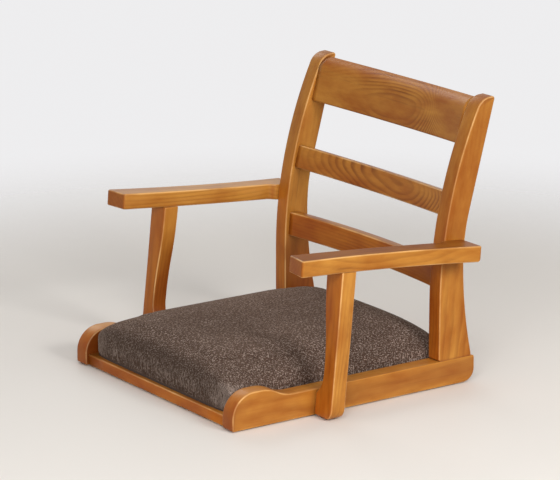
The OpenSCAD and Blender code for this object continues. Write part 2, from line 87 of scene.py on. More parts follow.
def angle(name, text, value):
    """An angle, as a property that is given in degrees and kept in radians."""
    return FloatProperty(name=name, description=text, default=math.radians(value), unit="ROTATION")


def colour(name, text, value):
    """A linear colour, as a property."""
    return FloatVectorProperty(
        name=name, description=text, default=value, subtype="COLOR", size=3, min=0.0, max=1.0,
    )


class ChairSizes(bpy.types.PropertyGroup):
    """Sizes of the chair's pieces that their boxes don't give"""

    edge: size("Edge round", "Radius of the rounded edges of the side frames", 0.0028)
    joint_edge: size("Joint edge", "Radius of an edge where two pieces are sanded flush", 0.0005)
    corner: size("Corner round", "Radius of the corners of an outline", 0.0042)

    nose_r: size("Nose corner", "Radius of the rail's front top corner", 0.041)
    nose_flat: size("Nose flat", "Length of the flat on the raised front end", 0.014)
    nose_run: size("Nose run", "Length over which the raised end falls to the rail", 0.063)
    heel_r: size("Heel", "Radius of the rail's rear bottom corner", 0.022)

    post_heel: size("Post heel", "Rail end behind the post foot", 0.006)
    post_foot: size("Post foot", "Front-to-back size of the post foot", 0.0685)
    lean: angle("Lean", "Lean of the back", 15.0)
    bend_front_z: size("Front bend", "Height at which the post's front starts to lean", 0.139)
    bend_front_r: size("Front bend radius", "Radius of the long bend on the post's front", 0.745)
    bend_rear_z: size("Rear bend", "Height of the post's narrowest place", 0.210)
    bend_rear_r: size("Rear bend radius", "Radius of the bend on the post's rear", 0.320)
    sweep_r: size("Foot sweep", "Radius of the sweep down to the post foot", 0.720)
    crown_r: size("Crown", "Radius of the post's rounded top", 0.028)
    crown_slope: angle("Crown slope", "Slope of the post top", 3.0)

    slat_t: size("Slat thickness", "Thickness of a slat", 0.020)
    slat_bow: size("Slat bow", "How far the slats bow backwards", 0.016)
    slat_edge: size("Slat edge", "Radius of a slat's long edges", 0.003)
    low_z: size("Lower slat", "Height of the lower slat's bottom edge", 0.164)
    low_w: size("Lower slat width", "Width of the lower slat", 0.042)
    low_lean: angle("Lower slat lean", "Lean of the lower slat", 5.0)
    low_set: size("Lower slat set-back", "Set-back of the lower slat behind the post front", 0.0066)
    mid_z: size("Middle slat", "Height of the middle slat's bottom edge", 0.285)
    mid_w: size("Middle slat width", "Width of the middle slat", 0.040)
    mid_set: size("Middle slat set-back", "Set-back of the middle slat behind the post front", 0.0052)
    top_drop: size("Top slat drop", "Top slat's bottom edge below the post top", 0.079)
    top_w: size("Top slat width", "Width of the top slat", 0.0825)
    top_set: size("Top slat set-back", "Top slat behind the post front where its round begins", 0.0007)
    top_round: size("Top slat round", "Radius of the top slat's front top edge", 0.026)

    arm_z: size("Arm height", "Height of the arm's top face at the middle of the chair", 0.2625)
    arm_fall: angle("Arm fall", "Fall of the arm from front to back", 4.7)
    arm_t: size("Arm thickness", "Thickness of an arm", 0.027)
    arm_w: size("Arm width", "Width of an arm at its front end", 0.046)
    arm_out: size("Arm distance", "Distance of an arm's front end from the side frame", 0.007)
    arm_back: size("Arm front", "Arm's front end behind the rail's front end", 0.097)
    arm_end_set: size("Arm rear", "Arm's rear end in front of the post's rear", 0.0035)
    arm_skew: size("Arm skew", "Set-back of the arm's inner front corner", 0.007)
    arm_outer_bow: size("Arm outer bow", "Inward bow of the arm's outer edge", 0.011)
    arm_inner_bow: size("Arm inner bow", "Inward bow of the arm's inner edge", 0.004)
    cheek_run: size("Cheek", "Length of the cheek that meets the post", 0.018)
    cheek_lap: size("Cheek lap", "How far behind the post's front the cheek meets it", 0.001)
    arm_corner: size("Arm corner", "Rounding of the arm's corners in plan", 0.004)
    arm_heel: size("Arm heel", "Rounding of the arm's rear bottom edge", 0.008)

    sup_back: size("Support place", "Support's foot behind the arm's front end", 0.0595)
    sup_d: size("Support depth", "Depth of a support from front to back", 0.0275)
    sup_lean: angle("Support lean", "Backward lean of a support", 6.1)
    sup_set: size("Support inset", "Support's foot in from the arm's outer corner", 0.007)
    sup_taper: size("Support taper", "How much the support narrows towards its top", 0.0026)
    sup_crown: size("Support crown", "Support's inner face from the side frame under the arm", 0.0006)
    sup_waist: size("Support waist", "Support's inner face from the side frame at the waist", 0.0155)
    waist_z: size("Waist height", "Height of the waist", 0.072)
    waist_r: size("Waist hollow", "Radius of the hollow under the waist", 0.045)
    sup_edge: size("Support edge", "Radius of the support's long edges", 0.0028)
    sup_toe: size("Support toe", "Radius of the support's front and rear bottom edges", 0.006)
    sup_heel: size("Support heel", "Radius of the support's inner bottom edge", 0.008)
    sup_round: size("Support foot", "Radius of the support's outer bottom corner", 0.018)

    seat_side: size("Seat side gap", "Gap between the seat and the side frame", 0.002)
    seat_front: size("Seat front", "Seat's front edge behind the front rail's face", 0.0055)
    seat_rear: size("Seat rear gap", "Gap between the seat and the rear rail", 0.004)
    crown_z: size("Seat crown", "Height of the seat's crown", 0.100)
    shoulder_z: size("Seat shoulder", "Height at which the cover starts to round over", 0.050)
    draw_in: size("Seat draw-in", "How far the long sides of the seat draw in", 0.002)
    tuck: size("Seat tuck", "How far the cover's foot turns in under the seat", 0.0019)
    tuck_h: size("Tuck height", "Height over which the cover's foot turns in", 0.006)
    swell: size("Seat swell", "How far the crown rises when the cover is filled", 0.0025)
    slack: size("Seat slack", "How far the cover's sides give when it is filled", 0.0006)
    voxel: size("Cloth mesh", "Size of the cloth's mesh before it is smoothed", 0.005)


def chair():
    """The chair's sizes."""
    return bpy.context.scene.chair_sizes


def finish():
    """The chair's colours."""
    return bpy.context.scene.chair_finish


class ChairFinish(bpy.types.PropertyGroup):
    """Colours of the chair's finishes"""

    honey: colour("Honey", "Light bands of the stained timber", (0.52, 0.225, 0.037))
    amber: colour("Amber", "Middle tone of the stained timber", (0.32, 0.092, 0.009))
    umber: colour("Umber", "Dark grain lines of the stained timber", (0.12, 0.026, 0.003))
    russet: colour("End grain", "Ends of the grain, which take more stain", (0.20, 0.050, 0.012))
    # Partly rubbed stain and partly a painted highlight: the pale colour of the rounded edges
    wear_and_highlight: colour("Worn edge", "Edges where the stain is rubbed thin", (0.84, 0.50, 0.20))
    # Painted shade: the tint that makes low faces that look forward redder
    red: colour("Red shade", "Tint of low faces that look forward", (1.0, 0.73, 0.42))
    # Painted shade: the tint that makes low faces that look towards the seat darker
    inward_painted_shade: colour("Dark shade", "Tint of low faces that look towards the seat", (0.55, 0.36, 0.30))
    bare: colour("Bare wood", "Bare pale hardwood", (0.62, 0.42, 0.22))
    ply: colour("Plywood", "Face of the seat panel", (0.58, 0.40, 0.22))
    yarn: colour("Yarn", "Ground yarn of the tweed", (0.104, 0.061, 0.043))
    fleck: colour("Light fleck", "Light flecks of the tweed", (0.42, 0.33, 0.28))
    nap: colour("Nap", "Fuzz that catches the light at a slant", (1.0, 0.72, 0.55))
    # Also painted shade: the colour towards which the seat's front is darkened
    dark_fleck_and_front_shade: colour("Dark fleck", "Dark flecks of the tweed", (0.022, 0.014, 0.011))
    felt: colour("Felt", "Felt of the floor pads", (0.020, 0.014, 0.011))
    zinc: colour("Zinc", "Plating of the screws", (0.55, 0.56, 0.57))
    floor: colour("Floor", "Plain floor", (0.77, 0.73, 0.68))
    wall: colour("Backdrop", "Colour behind the floor", (0.855, 0.85, 0.86))


def arc(centre, radius, start, end):
    """Points on a circle: centre + radius (cos a, sin a), with a from start to end in degrees."""
    run = radius * math.radians(abs(end - start))
    count = max(2, math.ceil(abs(end - start) / ARC_STEP), math.ceil(run / ARC_RUN)) + 1
    a = np.radians(np.linspace(start, end, count))
    return np.column_stack([centre[0] + radius * np.cos(a), centre[1] + radius * np.sin(a)])


def double_arc(run, step):
    """The radius, and the turn in degrees, of two equal arcs that meet smoothly and lead on by run and
    aside by step."""
    return (run ** 2 + step ** 2) / (4 * step), math.degrees(2 * math.atan(step / run))


def bowed(half, bow):
    """The radius, and half the turn in degrees, of an arc that bows by bow over a chord of twice half."""
    radius = (half ** 2 + bow ** 2) / (2 * bow)
    return radius, math.degrees(math.asin(half / radius))


def around(outline):
    """Unit directions into and out of each point of a closed outline."""
    step = np.roll(outline, -1, 0) - outline
    out = step / np.linalg.norm(step, axis=1, keepdims=True)
    return np.roll(out, 1, 0), out


def outline_of(*parts):
    """The parts joined into one closed outline that runs anticlockwise, with no point twice."""
    points = np.vstack([np.atleast_2d(p) for p in parts])
    gap = np.linalg.norm(points - np.roll(points, 1, 0), axis=1)
    points = points[gap > SAME]
    x, y = points.T
    area = (x * np.roll(y, -1) - np.roll(x, -1) * y).sum()
    return points if area > 0 else points[::-1]


def soften(outline, radius, sharp=25.0):
    """The outline with an arc in place of each corner that turns by more than sharp degrees.
    The arc's centre lies radius to the inner side of both edges that meet at the corner."""
    into, out = around(outline)
    turn = np.arctan2(into[:, 0] * out[:, 1] - into[:, 1] * out[:, 0], (into * out).sum(1))
    parts, done = [], 0
    for c in np.flatnonzero(np.abs(turn) > math.radians(sharp)):
        side = math.copysign(1.0, turn[c])
        reach = radius * math.tan(abs(turn[c]) / 2)
        inward = side * np.array([-into[c, 1], into[c, 0]])
        centre = outline[c] - reach * into[c] + radius * inward
        first = math.degrees(math.atan2(-inward[1], -inward[0]))
        gap = np.linalg.norm(outline - outline[c], axis=1)
        before = outline[done:c][gap[done:c] > reach * REACH]
        parts += [before, arc(centre, radius, first, first + math.degrees(turn[c]))]
        done = c + 1 + (gap[c + 1:c + 1 + LOOK] < reach * REACH).sum()
    return outline_of(*[p for p in parts + [outline[done:]] if len(p)])


def keep_direction(mesh):
    """Keeps which way the surface looks at each point, as an attribute."""
    normal = np.empty(len(mesh.vertices) * 3, np.float32)
    mesh.vertex_normals.foreach_get("vector", normal)
    mesh.attributes.new("look", "FLOAT_VECTOR", "POINT").data.foreach_set("vector", normal)


def skin(name, rings, wear_and_highlight=None, end=None):
    """A closed surface through rings of points, rings[i, j] being point j of ring i. Neighbouring rings
    are joined by quads and a flat face closes each end. Faces are turned outwards by the sign of the
    enclosed volume, the sum of a . (b x c) / 6 over the surface's triangles."""
    count, around_n = rings.shape[:2]
    points = rings.reshape(-1, 3)
    i, j = np.meshgrid(np.arange(count - 1), np.arange(around_n), indexing="ij")
    k = (j + 1) % around_n
    here, above = i * around_n, (i + 1) * around_n
    quads = np.stack([here + j, here + k, above + k, above + j], -1).reshape(-1, 4)
    ends = [np.arange(around_n)[::-1], np.arange(around_n) + (count - 1) * around_n]
    fans = [np.column_stack([np.full(around_n - 2, e[0]), e[1:-1], e[2:]]) for e in ends]
    triangles = np.vstack([quads[:, :3], quads[:, [0, 2, 3]], *fans])
    a, b, c = (points[triangles[:, n]] for n in range(3))
    faces = quads.tolist() + [e.tolist() for e in ends]
    if np.einsum("ij,ij->i", a, np.cross(b, c)).sum() < 0:
        faces = [f[::-1] for f in faces]
    mesh = bpy.data.meshes.new(name)
    mesh.from_pydata(points.tolist(), [], faces)
    smooth = np.ones(len(faces), bool)
    smooth[-2:] = False
    mesh.polygons.foreach_set("use_smooth", smooth)
    for label, values in (("wear_and_highlight", wear_and_highlight), ("end", end)):
        values = np.broadcast_to(0.0 if values is None else values, rings.shape[:2]).reshape(-1)
        mesh.attributes.new(label, "FLOAT", "POINT").data.foreach_set("value", values.astype(np.float32))
    mesh.update()
    keep_direction(mesh)
    piece = bpy.data.objects.new(name, mesh)
    bpy.context.scene.collection.objects.link(piece)
    return piece


def board_rings(outline, low, high, rim_low, rim_high):
    """Rings of a board of that outline from the face at low to the face at high, and how much each is
    rubbed and painted with a highlight. With a from 0 to 90 degrees, ring a lies rim (1 - cos a) from the
    face and rim (1 - sin a) inside the outline, and is rubbed and highlighted most at 45 degrees. A rim may
    differ from point to point."""
    into, out = around(outline)
    normal_in = np.column_stack([into[:, 1], -into[:, 0]])
    normal_out = np.column_stack([out[:, 1], -out[:, 0]])
    mitre = (normal_in + normal_out) / (1 + (normal_in * normal_out).sum(1))[:, None]
    a = np.radians(np.linspace(0, 90, RIM_STEPS + 1))
    rings, wear_and_highlight = [], []
    for face, rim, towards in ((low, rim_low, 1), (high, rim_high, -1)):
        rim = np.broadcast_to(rim, len(outline))
        inset = np.vstack([rim + BORDER, rim * (1 - np.sin(a))[:, None]])
        depth = np.vstack([np.zeros(len(outline)), rim * (1 - np.cos(a))[:, None]])
        flat = outline - inset[..., None] * mitre
        part = np.dstack([flat, face + towards * depth])
        ring_wear_and_highlight = np.concatenate([[0], np.sin(2 * a)])
        rings.append(part[::towards])
        wear_and_highlight.append(ring_wear_and_highlight[::towards])
    return np.vstack(rings), np.concatenate(wear_and_highlight)[:, None]


def facing(outline, axis):
    """How squarely each point of an outline faces along the axis 0 or 1: 1 on an end and 0 on a side."""
    into, out = around(outline)
    return ((into + out)[:, 1 - axis] / 2) ** 2


def section_loop(low_u, high_u, low_v, high_v, radius, steps=5):
    """A rectangle with rounded corners, for each entry of its sides. Corner c runs through the angles
    90 c to 90 (c + 1) about a centre that lies radius inside two sides."""
    quarter = np.radians(np.linspace(0, 90, steps + 1))
    a = (quarter[None] + np.radians([[0], [90], [180], [270]])).reshape(-1)
    u_side = np.repeat([1, 0, 0, 1], steps + 1)
    v_side = np.repeat([1, 1, 0, 0], steps + 1)
    values = np.broadcast_arrays(*np.atleast_1d(low_u, high_u, low_v, high_v, radius))
    low_u, high_u, low_v, high_v, r = (value[:, None] for value in values)
    u = np.where(u_side, high_u - r, low_u + r) + r * np.cos(a)
    v = np.where(v_side, high_v - r, low_v + r) + r * np.sin(a)
    wear_and_highlight = np.abs(np.sin(2 * a))
    return u, v, wear_and_highlight


def tilt(points, turn, origin):
    """The points turned about the X axis, so that their top goes back by turn, in radians, then moved."""
    c, s = math.cos(turn), math.sin(turn)
    x, y, z = np.moveaxis(points, -1, 0)
    return np.stack([x, y * c + z * s, z * c - y * s], -1) + np.array(origin)


def lift(points):
    """The points raised by the pads, so that heights count from the underside of the timber."""
    return points + np.array([0, 0, LIFT])


def side(points, hand):
    """Points of a right-hand piece, mirrored to the left for hand -1."""
    return points * np.array([hand, 1, 1])


HANDS = {"left": -1, "right": 1}


# The side frames' outlines, in Y and Z
def rail_outline():
    """The rail from the side: a flat bar with a raised rounded front and a rounded heel. Two equal arcs
    that meet smoothly lead from the raised end down to the bar."""
    s = chair()
    top_end = RAIL_FRONT + s.nose_r + s.nose_flat
    radius, turn = double_arc(s.nose_run, NOSE_H - RAIL_H)
    return soften(outline_of(
        [RAIL_FRONT, 0],
        arc((RAIL_REAR - s.heel_r, s.heel_r), s.heel_r, -90, 0),
        [RAIL_REAR, RAIL_H],
        arc((top_end + s.nose_run, RAIL_H + radius), radius, -90, -90 - turn),
        arc((top_end, NOSE_H - radius), radius, 90 - turn, 90),
        arc((RAIL_FRONT + s.nose_r, NOSE_H - s.nose_r), s.nose_r, 90, 180),
    ), s.corner)


def post_rear():
    """The rear of the post's foot."""
    return RAIL_REAR - chair().post_heel


def post_front():
    """The front of the post's foot."""
    return post_rear() - chair().post_foot


def post_waist():
    """The rear of the post at its narrowest place."""
    s = chair()
    return post_rear() - s.sweep_r + math.sqrt(s.sweep_r ** 2 - (s.bend_rear_z - RAIL_H) ** 2)


def post_front_at(z):
    """The post's front at height z: upright, then one long arc."""
    s = chair()
    rise = max(z - s.bend_front_z, 0)
    return post_front() + s.bend_front_r - math.sqrt(s.bend_front_r ** 2 - rise ** 2)


def post_outline():
    """The post from the side. Its front is upright and then one long arc; the crown is an arc inside that
    one, which touches it and the sloping top. Its rear is a straight lean between two arcs."""
    s = chair()
    bend = np.array([post_front() + s.bend_front_r, s.bend_front_z])
    tip = np.array([post_high.y, POST_TOP])
    along = np.array([math.cos(s.crown_slope), math.sin(s.crown_slope)])
    rear = tip + s.crown_r * np.array([along[1], -along[0]]) - bend
    left = s.bend_front_r - s.crown_r
    run = rear @ along + math.sqrt((rear @ along) ** 2 - rear @ rear + left ** 2)
    centre = bend + rear - run * along
    turn = math.degrees(math.asin((centre[1] - bend[1]) / left))
    lean, slope = math.degrees(s.lean), math.degrees(s.crown_slope)
    sweep = math.degrees(math.asin((s.bend_rear_z - RAIL_H) / s.sweep_r))
    return soften(outline_of(
        [post_front(), RAIL_H],
        arc(bend, s.bend_front_r, 180, 180 - turn),
        arc(centre, s.crown_r, 180 - turn, 90 + slope),
        tip,
        arc((post_waist() + s.bend_rear_r, s.bend_rear_z), s.bend_rear_r, 180 - lean, 180),
        arc((post_waist() + s.sweep_r, s.bend_rear_z), s.sweep_r, 180, 180 + sweep),
    ), s.corner, sharp=60.0)


def rim_where(flush):
    """The edge radius at each point of an outline: small where it is flush with another piece."""
    s = chair()
    return s.joint_edge + (s.edge - s.joint_edge) * (1 - flush)


def near(value, low, high, blend=0.006):
    """1 between low and high, falling smoothly to 0 over blend on either side."""
    gap = np.maximum(np.maximum(low - value, value - high), 0) / blend
    t = np.clip(1 - gap, 0, 1)
    return t * t * (3 - 2 * t)


def side_board(name, outline, flush, hand, grain):
    """A board of the side frame. Its outline lies in Y and Z; the grain runs along axis 0 or 1 of that."""
    rim = rim_where(flush)
    rings, wear_and_highlight = board_rings(outline, INNER_X, OUTER_X, rim, rim)
    points = rings[..., [2, 0, 1]]
    return skin(name, lift(side(points, hand)), wear_and_highlight * (1 - flush), facing(outline, grain))


def dress(piece, slot, material, *nodes):
    """Gives a finished piece its material, its body and the pieces of the frame that it stands for."""
    piece.data.materials.append(material)
    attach(piece, "root")
    if nodes:
        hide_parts(*nodes)
    return piece


# Shader maths
class Field:
    """A socket that can be used in sums. Each operation adds a Math node."""

    def __init__(self, graph, socket):
        self.graph = graph
        self.socket = socket

    def math(self, operation, *others):
        """This value and the others through a Math node."""
        node = self.graph.node("ShaderNodeMath", {"operation": operation}, {0: self})
        for slot, other in enumerate(others, 1):
            self.graph.feed(node.inputs[slot], other)
        return Field(self.graph, node.outputs[0])

    def __add__(self, other):
        return self.math("ADD", other)

    __radd__ = __add__

    def __sub__(self, other):
        return self.math("SUBTRACT", other)

    def __rsub__(self, other):
        return (self * -1.0).math("ADD", other)

    def __mul__(self, other):
        return self.math("MULTIPLY", other)

    __rmul__ = __mul__

    def root(self):
        """The square root."""
        return self.math("SQRT")

    def part(self):
        """What follows the decimal point."""
        return self.math("FRACT")

    def size(self):
        """The value without its sign."""
        return self.math("ABSOLUTE")

    def most(self, other):
        """The greater of the two."""
        return self.math("MAXIMUM", other)

    def clamp(self):
        """The value kept between 0 and 1."""
        return self.math("MAXIMUM", 0.0).math("MINIMUM", 1.0)

    def step(self, low, high):
        """0 below low and 1 above high, with a smooth change between them."""
        node = self.graph.node(
            "ShaderNodeMapRange",
            {"interpolation_type": "SMOOTHSTEP", "clamp": True},
            {"Value": self, "From Min": low, "From Max": high, "To Min": 0.0, "To Max": 1.0},
        )
        return Field(self.graph, node.outputs[0])


class Graph:
    """The nodes of a new material of that name, or of the world that is given."""

    def __init__(self, name, world=None):
        self.material = None if world else bpy.data.materials.new(name)
        owner = world or self.material
        owner.use_nodes = True
        self.tree = owner.node_tree
        self.shader = self.tree.nodes["Background" if world else "Principled BSDF"]

    def feed(self, socket, value):
        """Links the value to the socket, or sets it there."""
        if isinstance(value, Field):
            value = value.socket
        if isinstance(value, bpy.types.NodeSocket):
            self.tree.links.new(value, socket)
        else:
            socket.default_value = value

    def node(self, kind, settings=None, values=None):
        """A node of that kind. Its settings go in first, then the values or links of its sockets."""
        node = self.tree.nodes.new(kind)
        for name, value in (settings or {}).items():
            setattr(node, name, value)
        for slot, value in (values or {}).items():
            self.feed(node.inputs[slot], value)
        return node

    def place(self, turn=(0, 0, 0), move=(0, 0, 0)):
        """Object coordinates, turned and then moved."""
        texture = self.node("ShaderNodeTexCoord")
        return self.stretch(texture.outputs["Object"], (1, 1, 1), turn, move)

    def stretch(self, vector, scale, turn=(0, 0, 0), move=(0, 0, 0)):
        """The vector scaled, turned and then moved."""
        values = {"Vector": vector, "Scale": scale, "Rotation": turn, "Location": move}
        return self.node("ShaderNodeMapping", {}, values).outputs[0]

    def split(self, vector):
        """The vector's X, Y and Z."""
        node = self.node("ShaderNodeSeparateXYZ", {}, {0: vector})
        return [Field(self, socket) for socket in node.outputs]

    def noise(self, vector, scale=1.0, detail=2.0, roughness=0.5, move=0.0):
        """Fractal noise from 0 to 1, of four dimensions so that move gives another stretch of it."""
        values = {"Vector": vector, "W": move, "Scale": scale, "Detail": detail, "Roughness": roughness}
        node = self.node("ShaderNodeTexNoise", {"noise_dimensions": "4D"}, values)
        return Field(self, node.outputs["Fac"])

    def facing(self):
        """How far the surface looks along X, Y and Z, from -1 to 1, as its attribute keeps it."""
        return self.split(self.node("ShaderNodeAttribute", {"attribute_name": "look"}).outputs["Vector"])

    def attribute(self, name):
        """The piece's own value of that name at each point."""
        return Field(self, self.node("ShaderNodeAttribute", {"attribute_name": name}).outputs["Fac"])

    def mix(self, factor, a, b, blend="MIX"):
        """Colour a where factor is 0 and b where it is 1."""
        node = self.node("ShaderNodeMix", {"data_type": "RGBA", "blend_type": blend})
        self.feed(node.inputs["Factor"], factor)
        for slot, value in ((6, a), (7, b)):
            if isinstance(value, (tuple, list)):
                value = (*value, 1.0)
            self.feed(node.inputs[slot], value)
        return node.outputs[2]

    def tinted(self, factor, base, tint):
        """The base colour, times the tint where factor is 1."""
        return self.mix(factor, base, self.mix(1.0, base, tint, "MULTIPLY"))

    def grain(self, vector, pattern, seed):
        """Noise of one of the wood's patterns, with the grain along X of the vector."""
        along, across, detail, roughness, shift = PATTERNS[pattern]
        stretched = self.stretch(vector, (along, across, across))
        return self.noise(stretched, detail=detail, roughness=roughness, move=seed + shift)

    def bump(self, height, distance, strength):
        """A relief, whose height counts in distances."""
        values = {"Strength": strength, "Distance": distance, "Height": height}
        self.feed(self.shader.inputs["Normal"], self.node("ShaderNodeBump", {}, values).outputs[0])

    def surface(self, base, roughness):
        """The shader's colour and roughness."""
        self.feed(self.shader.inputs["Base Color"], base)
        self.feed(self.shader.inputs["Roughness"], roughness)

    def constants(self, **values):
        """Values that are the same all over, set on the shader's own sockets."""
        for name, value in values.items():
            self.shader.inputs[name.replace("_", " ")].default_value = value


# Turns that bring the grain, which runs along X in the pattern, to a piece's own length
ALONG_X = (0.0, 0.0, 0.0)
ALONG_Y = (0.0, 0.0, -math.pi / 2)
ALONG_Z = (0.0, math.pi / 2, 0.0)


def leaning(turn, lean):
    """The turn after a lean about X."""
    return (lean, turn[1], turn[2])


# Patterns of wood: how fast each changes along and across the grain, per metre, then its detail, its
# roughness and its shift in the noise
PATTERNS = {
    "waver": (2.6, 9.0, 2.0, 0.5, 0.0),
    "ripple": (14.0, 60.0, 2.0, 0.5, 3.1),
    "patch": (6.0, 16.0, 2.0, 0.5, 9.4),
    "streak": (4.0, 120.0, 3.0, 0.6, 7.7),
    "fibre": (40.0, 900.0, 2.0, 0.6, 1.3),
    "cloud": (11.0, 28.0, 4.0, 0.55, 5.9),
    "bare streak": (6.0, 150.0, 3.0, 0.5, 0.0),
    "bare fibre": (50.0, 1000.0, 2.0, 0.5, 2.0),
    "bare cloud": (6.0, 14.0, 2.0, 0.5, 4.0),
}
# How far the growth rings waver and ripple, in metres
WAVER_DEPTH = 0.040
RIPPLE_DEPTH = 0.0016
# Parts of a ring in which the late wood sets in and ends
LATE_START = (0.30, 0.80)
LATE_END = (0.84, 1.0)
# Distances from the heart over which the figure fades, and how much of it goes
FIGURE_FADE = (0.10, 0.26)
FIGURE_LOSS = 0.8
# What the patterns add to the timber's lightness, about the middle of its range
MIDDLE = 0.5
CLOUD_SHARE = 2.4
STREAK_SHARE = 0.9
FIBRE_SHARE = 0.25
FIGURE_SHARE = 0.3
# How strong the dark veins, the end grain's stain and the rubbed edges, with their painted highlight, are
VEIN = 0.45
END_STAIN = 0.55
RUB_AND_HIGHLIGHT_STRENGTH = 0.75
# Heights between which the painted shade on low faces fades, for those that look forward and to the seat
FORWARD_FADE = (0.20, 0.36)
INWARD_FADE = (0.10, 0.23)
# A face looks inwards where its place across the chair and its direction differ in sign; this scales
# their product, which is up to a quarter of a metre
INWARD_GAIN = -6.0
# Depth of the grain's relief
GRAIN_DEPTH = 0.0002


def timber(
    name, turn, pith, flare, rings, figure, tone, seed,
    heart=0.0, bulge=(0.0, 0.0), top_sheen_and_shade=(1.0, 1.0, 1.0), coat=0.10,
):
    """Stained and lacquered timber. Growth rings are cylinders about a pith line that runs along the
    piece: ring number = rings (distance from the pith + flare a + bulge (a - heart)^2 + a slow waver), where
    a is the length along the pith. The bulge, one before the heart and one after it, draws nested ovals on a
    face beside the pith, which fade away from the heart. Late wood darkens the end of each ring, in patches.
    Streaks and a cloudy stain lie over them, and the ends of the grain take more stain. Painted shade makes
    low faces that look forward redder and those that look to the seat darker, and the top tint, where a
    piece has one, is painted light on the faces that look up: a painted reflection where it is pale and
    painted shade where it is dark. The rounded edges turn pale, partly as rubbed stain where the stain is
    thin, and partly as a painted highlight."""
    f = finish()
    g = Graph(name)
    p = g.place(turn)
    along, across, deep = g.split(p)
    waver = g.grain(p, "waver", seed) - MIDDLE
    ripple = g.grain(p, "ripple", seed) - MIDDLE
    y = across - pith[0]
    z = deep - pith[1]
    before = (heart - along).most(0.0)
    after = (along - heart).most(0.0)
    distance = (y * y + z * z).root() + along * flare + before * before * bulge[0] + after * after * bulge[1]
    distance = distance + waver * WAVER_DEPTH + ripple * RIPPLE_DEPTH
    ring = (distance * rings).part()
    late = ring.step(*LATE_START) * (1.0 - ring.step(*LATE_END))
    patch = g.grain(p, "patch", seed).step(0.34, 0.60)
    streak = g.grain(p, "streak", seed)
    fibre = g.grain(p, "fibre", seed)
    cloud = g.grain(p, "cloud", seed)
    wear_and_highlight, end = g.attribute("wear_and_highlight"), g.attribute("end")
    figured = late * patch * figure * (1.0 - (before + after).step(*FIGURE_FADE) * FIGURE_LOSS)
    light = MIDDLE + (cloud - MIDDLE) * CLOUD_SHARE + (streak - MIDDLE) * STREAK_SHARE
    light = (light + (fibre - MIDDLE) * FIBRE_SHARE + tone - figured * FIGURE_SHARE).clamp()
    base = g.mix(light, tuple(f.amber), tuple(f.honey))
    base = g.mix((figured * (0.35 + streak * 0.7)).clamp(), base, tuple(f.umber))
    vein = (streak.step(0.56, 0.74) * (1.0 - cloud.step(0.44, 0.64)) * VEIN).clamp()
    base = g.mix(vein, base, tuple(f.umber))
    base = g.mix((end * END_STAIN).clamp(), base, tuple(f.russet))
    over, ahead, up = g.facing()
    place = g.split(g.place())
    side, height = place[0], place[2]
    # Painted shade: low faces that look forward are tinted redder
    forward = (ahead * -1.0).step(0.3, 0.9) * (1.0 - height.step(*FORWARD_FADE))
    # Painted shade: low faces that look to the seat are tinted darker
    inward = (over * side * INWARD_GAIN).step(0.1, 0.6) * (1.0 - height.step(*INWARD_FADE))
    base = g.tinted(forward, base, tuple(f.red))
    base = g.tinted(inward, base, tuple(f.inward_painted_shade))
    # Painted light on faces that look up: the top tint, a painted reflection where pale and painted shade
    # where dark
    base = g.tinted(up.step(0.5, 0.9), base, top_sheen_and_shade)
    # Partly rubbed stain and partly a painted highlight: the rounded edges turn pale
    rub_and_highlight_mask = (wear_and_highlight * wear_and_highlight * (0.30 + cloud.step(0.42, 0.62) * 0.70) * RUB_AND_HIGHLIGHT_STRENGTH).clamp()
    base = g.mix(rub_and_highlight_mask, base, tuple(f.wear_and_highlight))
    g.surface(base, 0.32 + cloud * 0.12 + fibre * 0.05)
    g.bump(fibre * 0.4 + late * figure * 0.5 + streak * 0.4, GRAIN_DEPTH, 0.35)
    g.constants(Coat_Weight=coat, Coat_Roughness=0.20, Coat_IOR=1.45, Specular_IOR_Level=0.13)
    return g.material


def bare_wood(name, tint, turn, seed, hem=None):
    """Unfinished pale wood: streaks and fibres along the grain, with no lacquer. Outside the half sizes
    and the middle that the hem gives, in X and Y, the cover's cloth is turned in over it, in a colour
    darker than the yarn as painted shade."""
    g = Graph(name)
    p = g.place(turn)
    streak = g.grain(p, "bare streak", seed)
    fibre = g.grain(p, "bare fibre", seed)
    cloud = g.grain(p, "bare cloud", seed)
    tint = tuple(tint)
    dark = tuple(c * 0.62 for c in tint)
    base = g.mix((streak * 0.6 + cloud * 0.5 + fibre * 0.2 - 0.15).clamp(), dark, tint)
    if hem:
        x, y = g.split(g.place())[:2]
        past = (x.size() - hem[0]).most((y - hem[2]).size() - hem[1])
        # Painted shade: the turned-in cloth is darker than the yarn
        base = g.mix(past.step(0.0, 0.001), base, tuple(c * 0.4 for c in finish().yarn))
    g.surface(base, 0.62 + fibre * 0.15)
    g.bump(fibre + streak * 0.5, GRAIN_DEPTH, 0.5)
    return g.material


# Waves of the tweed's crossed yarns, in radians per metre, and how far the yarns wander, in radians
WARP = 3900.0
WEFT = 3600.0
WANDER = 3.0
# How fast the tweed's patterns change along a slub and across it, in a dark fleck, and in the ribs
SLUB = (210.0, 500.0)
DARK = (400.0, 320.0, 1.0)
RIB = (60.0, 520.0)
# Values of the noise between which a light fleck, a dark one and a rib set in
LIGHT_START = (0.57, 0.66)
DARK_START = (0.54, 0.68)
RIB_START = (0.50, 0.70)
# Depth of the yarns' relief
PILE = 0.0007


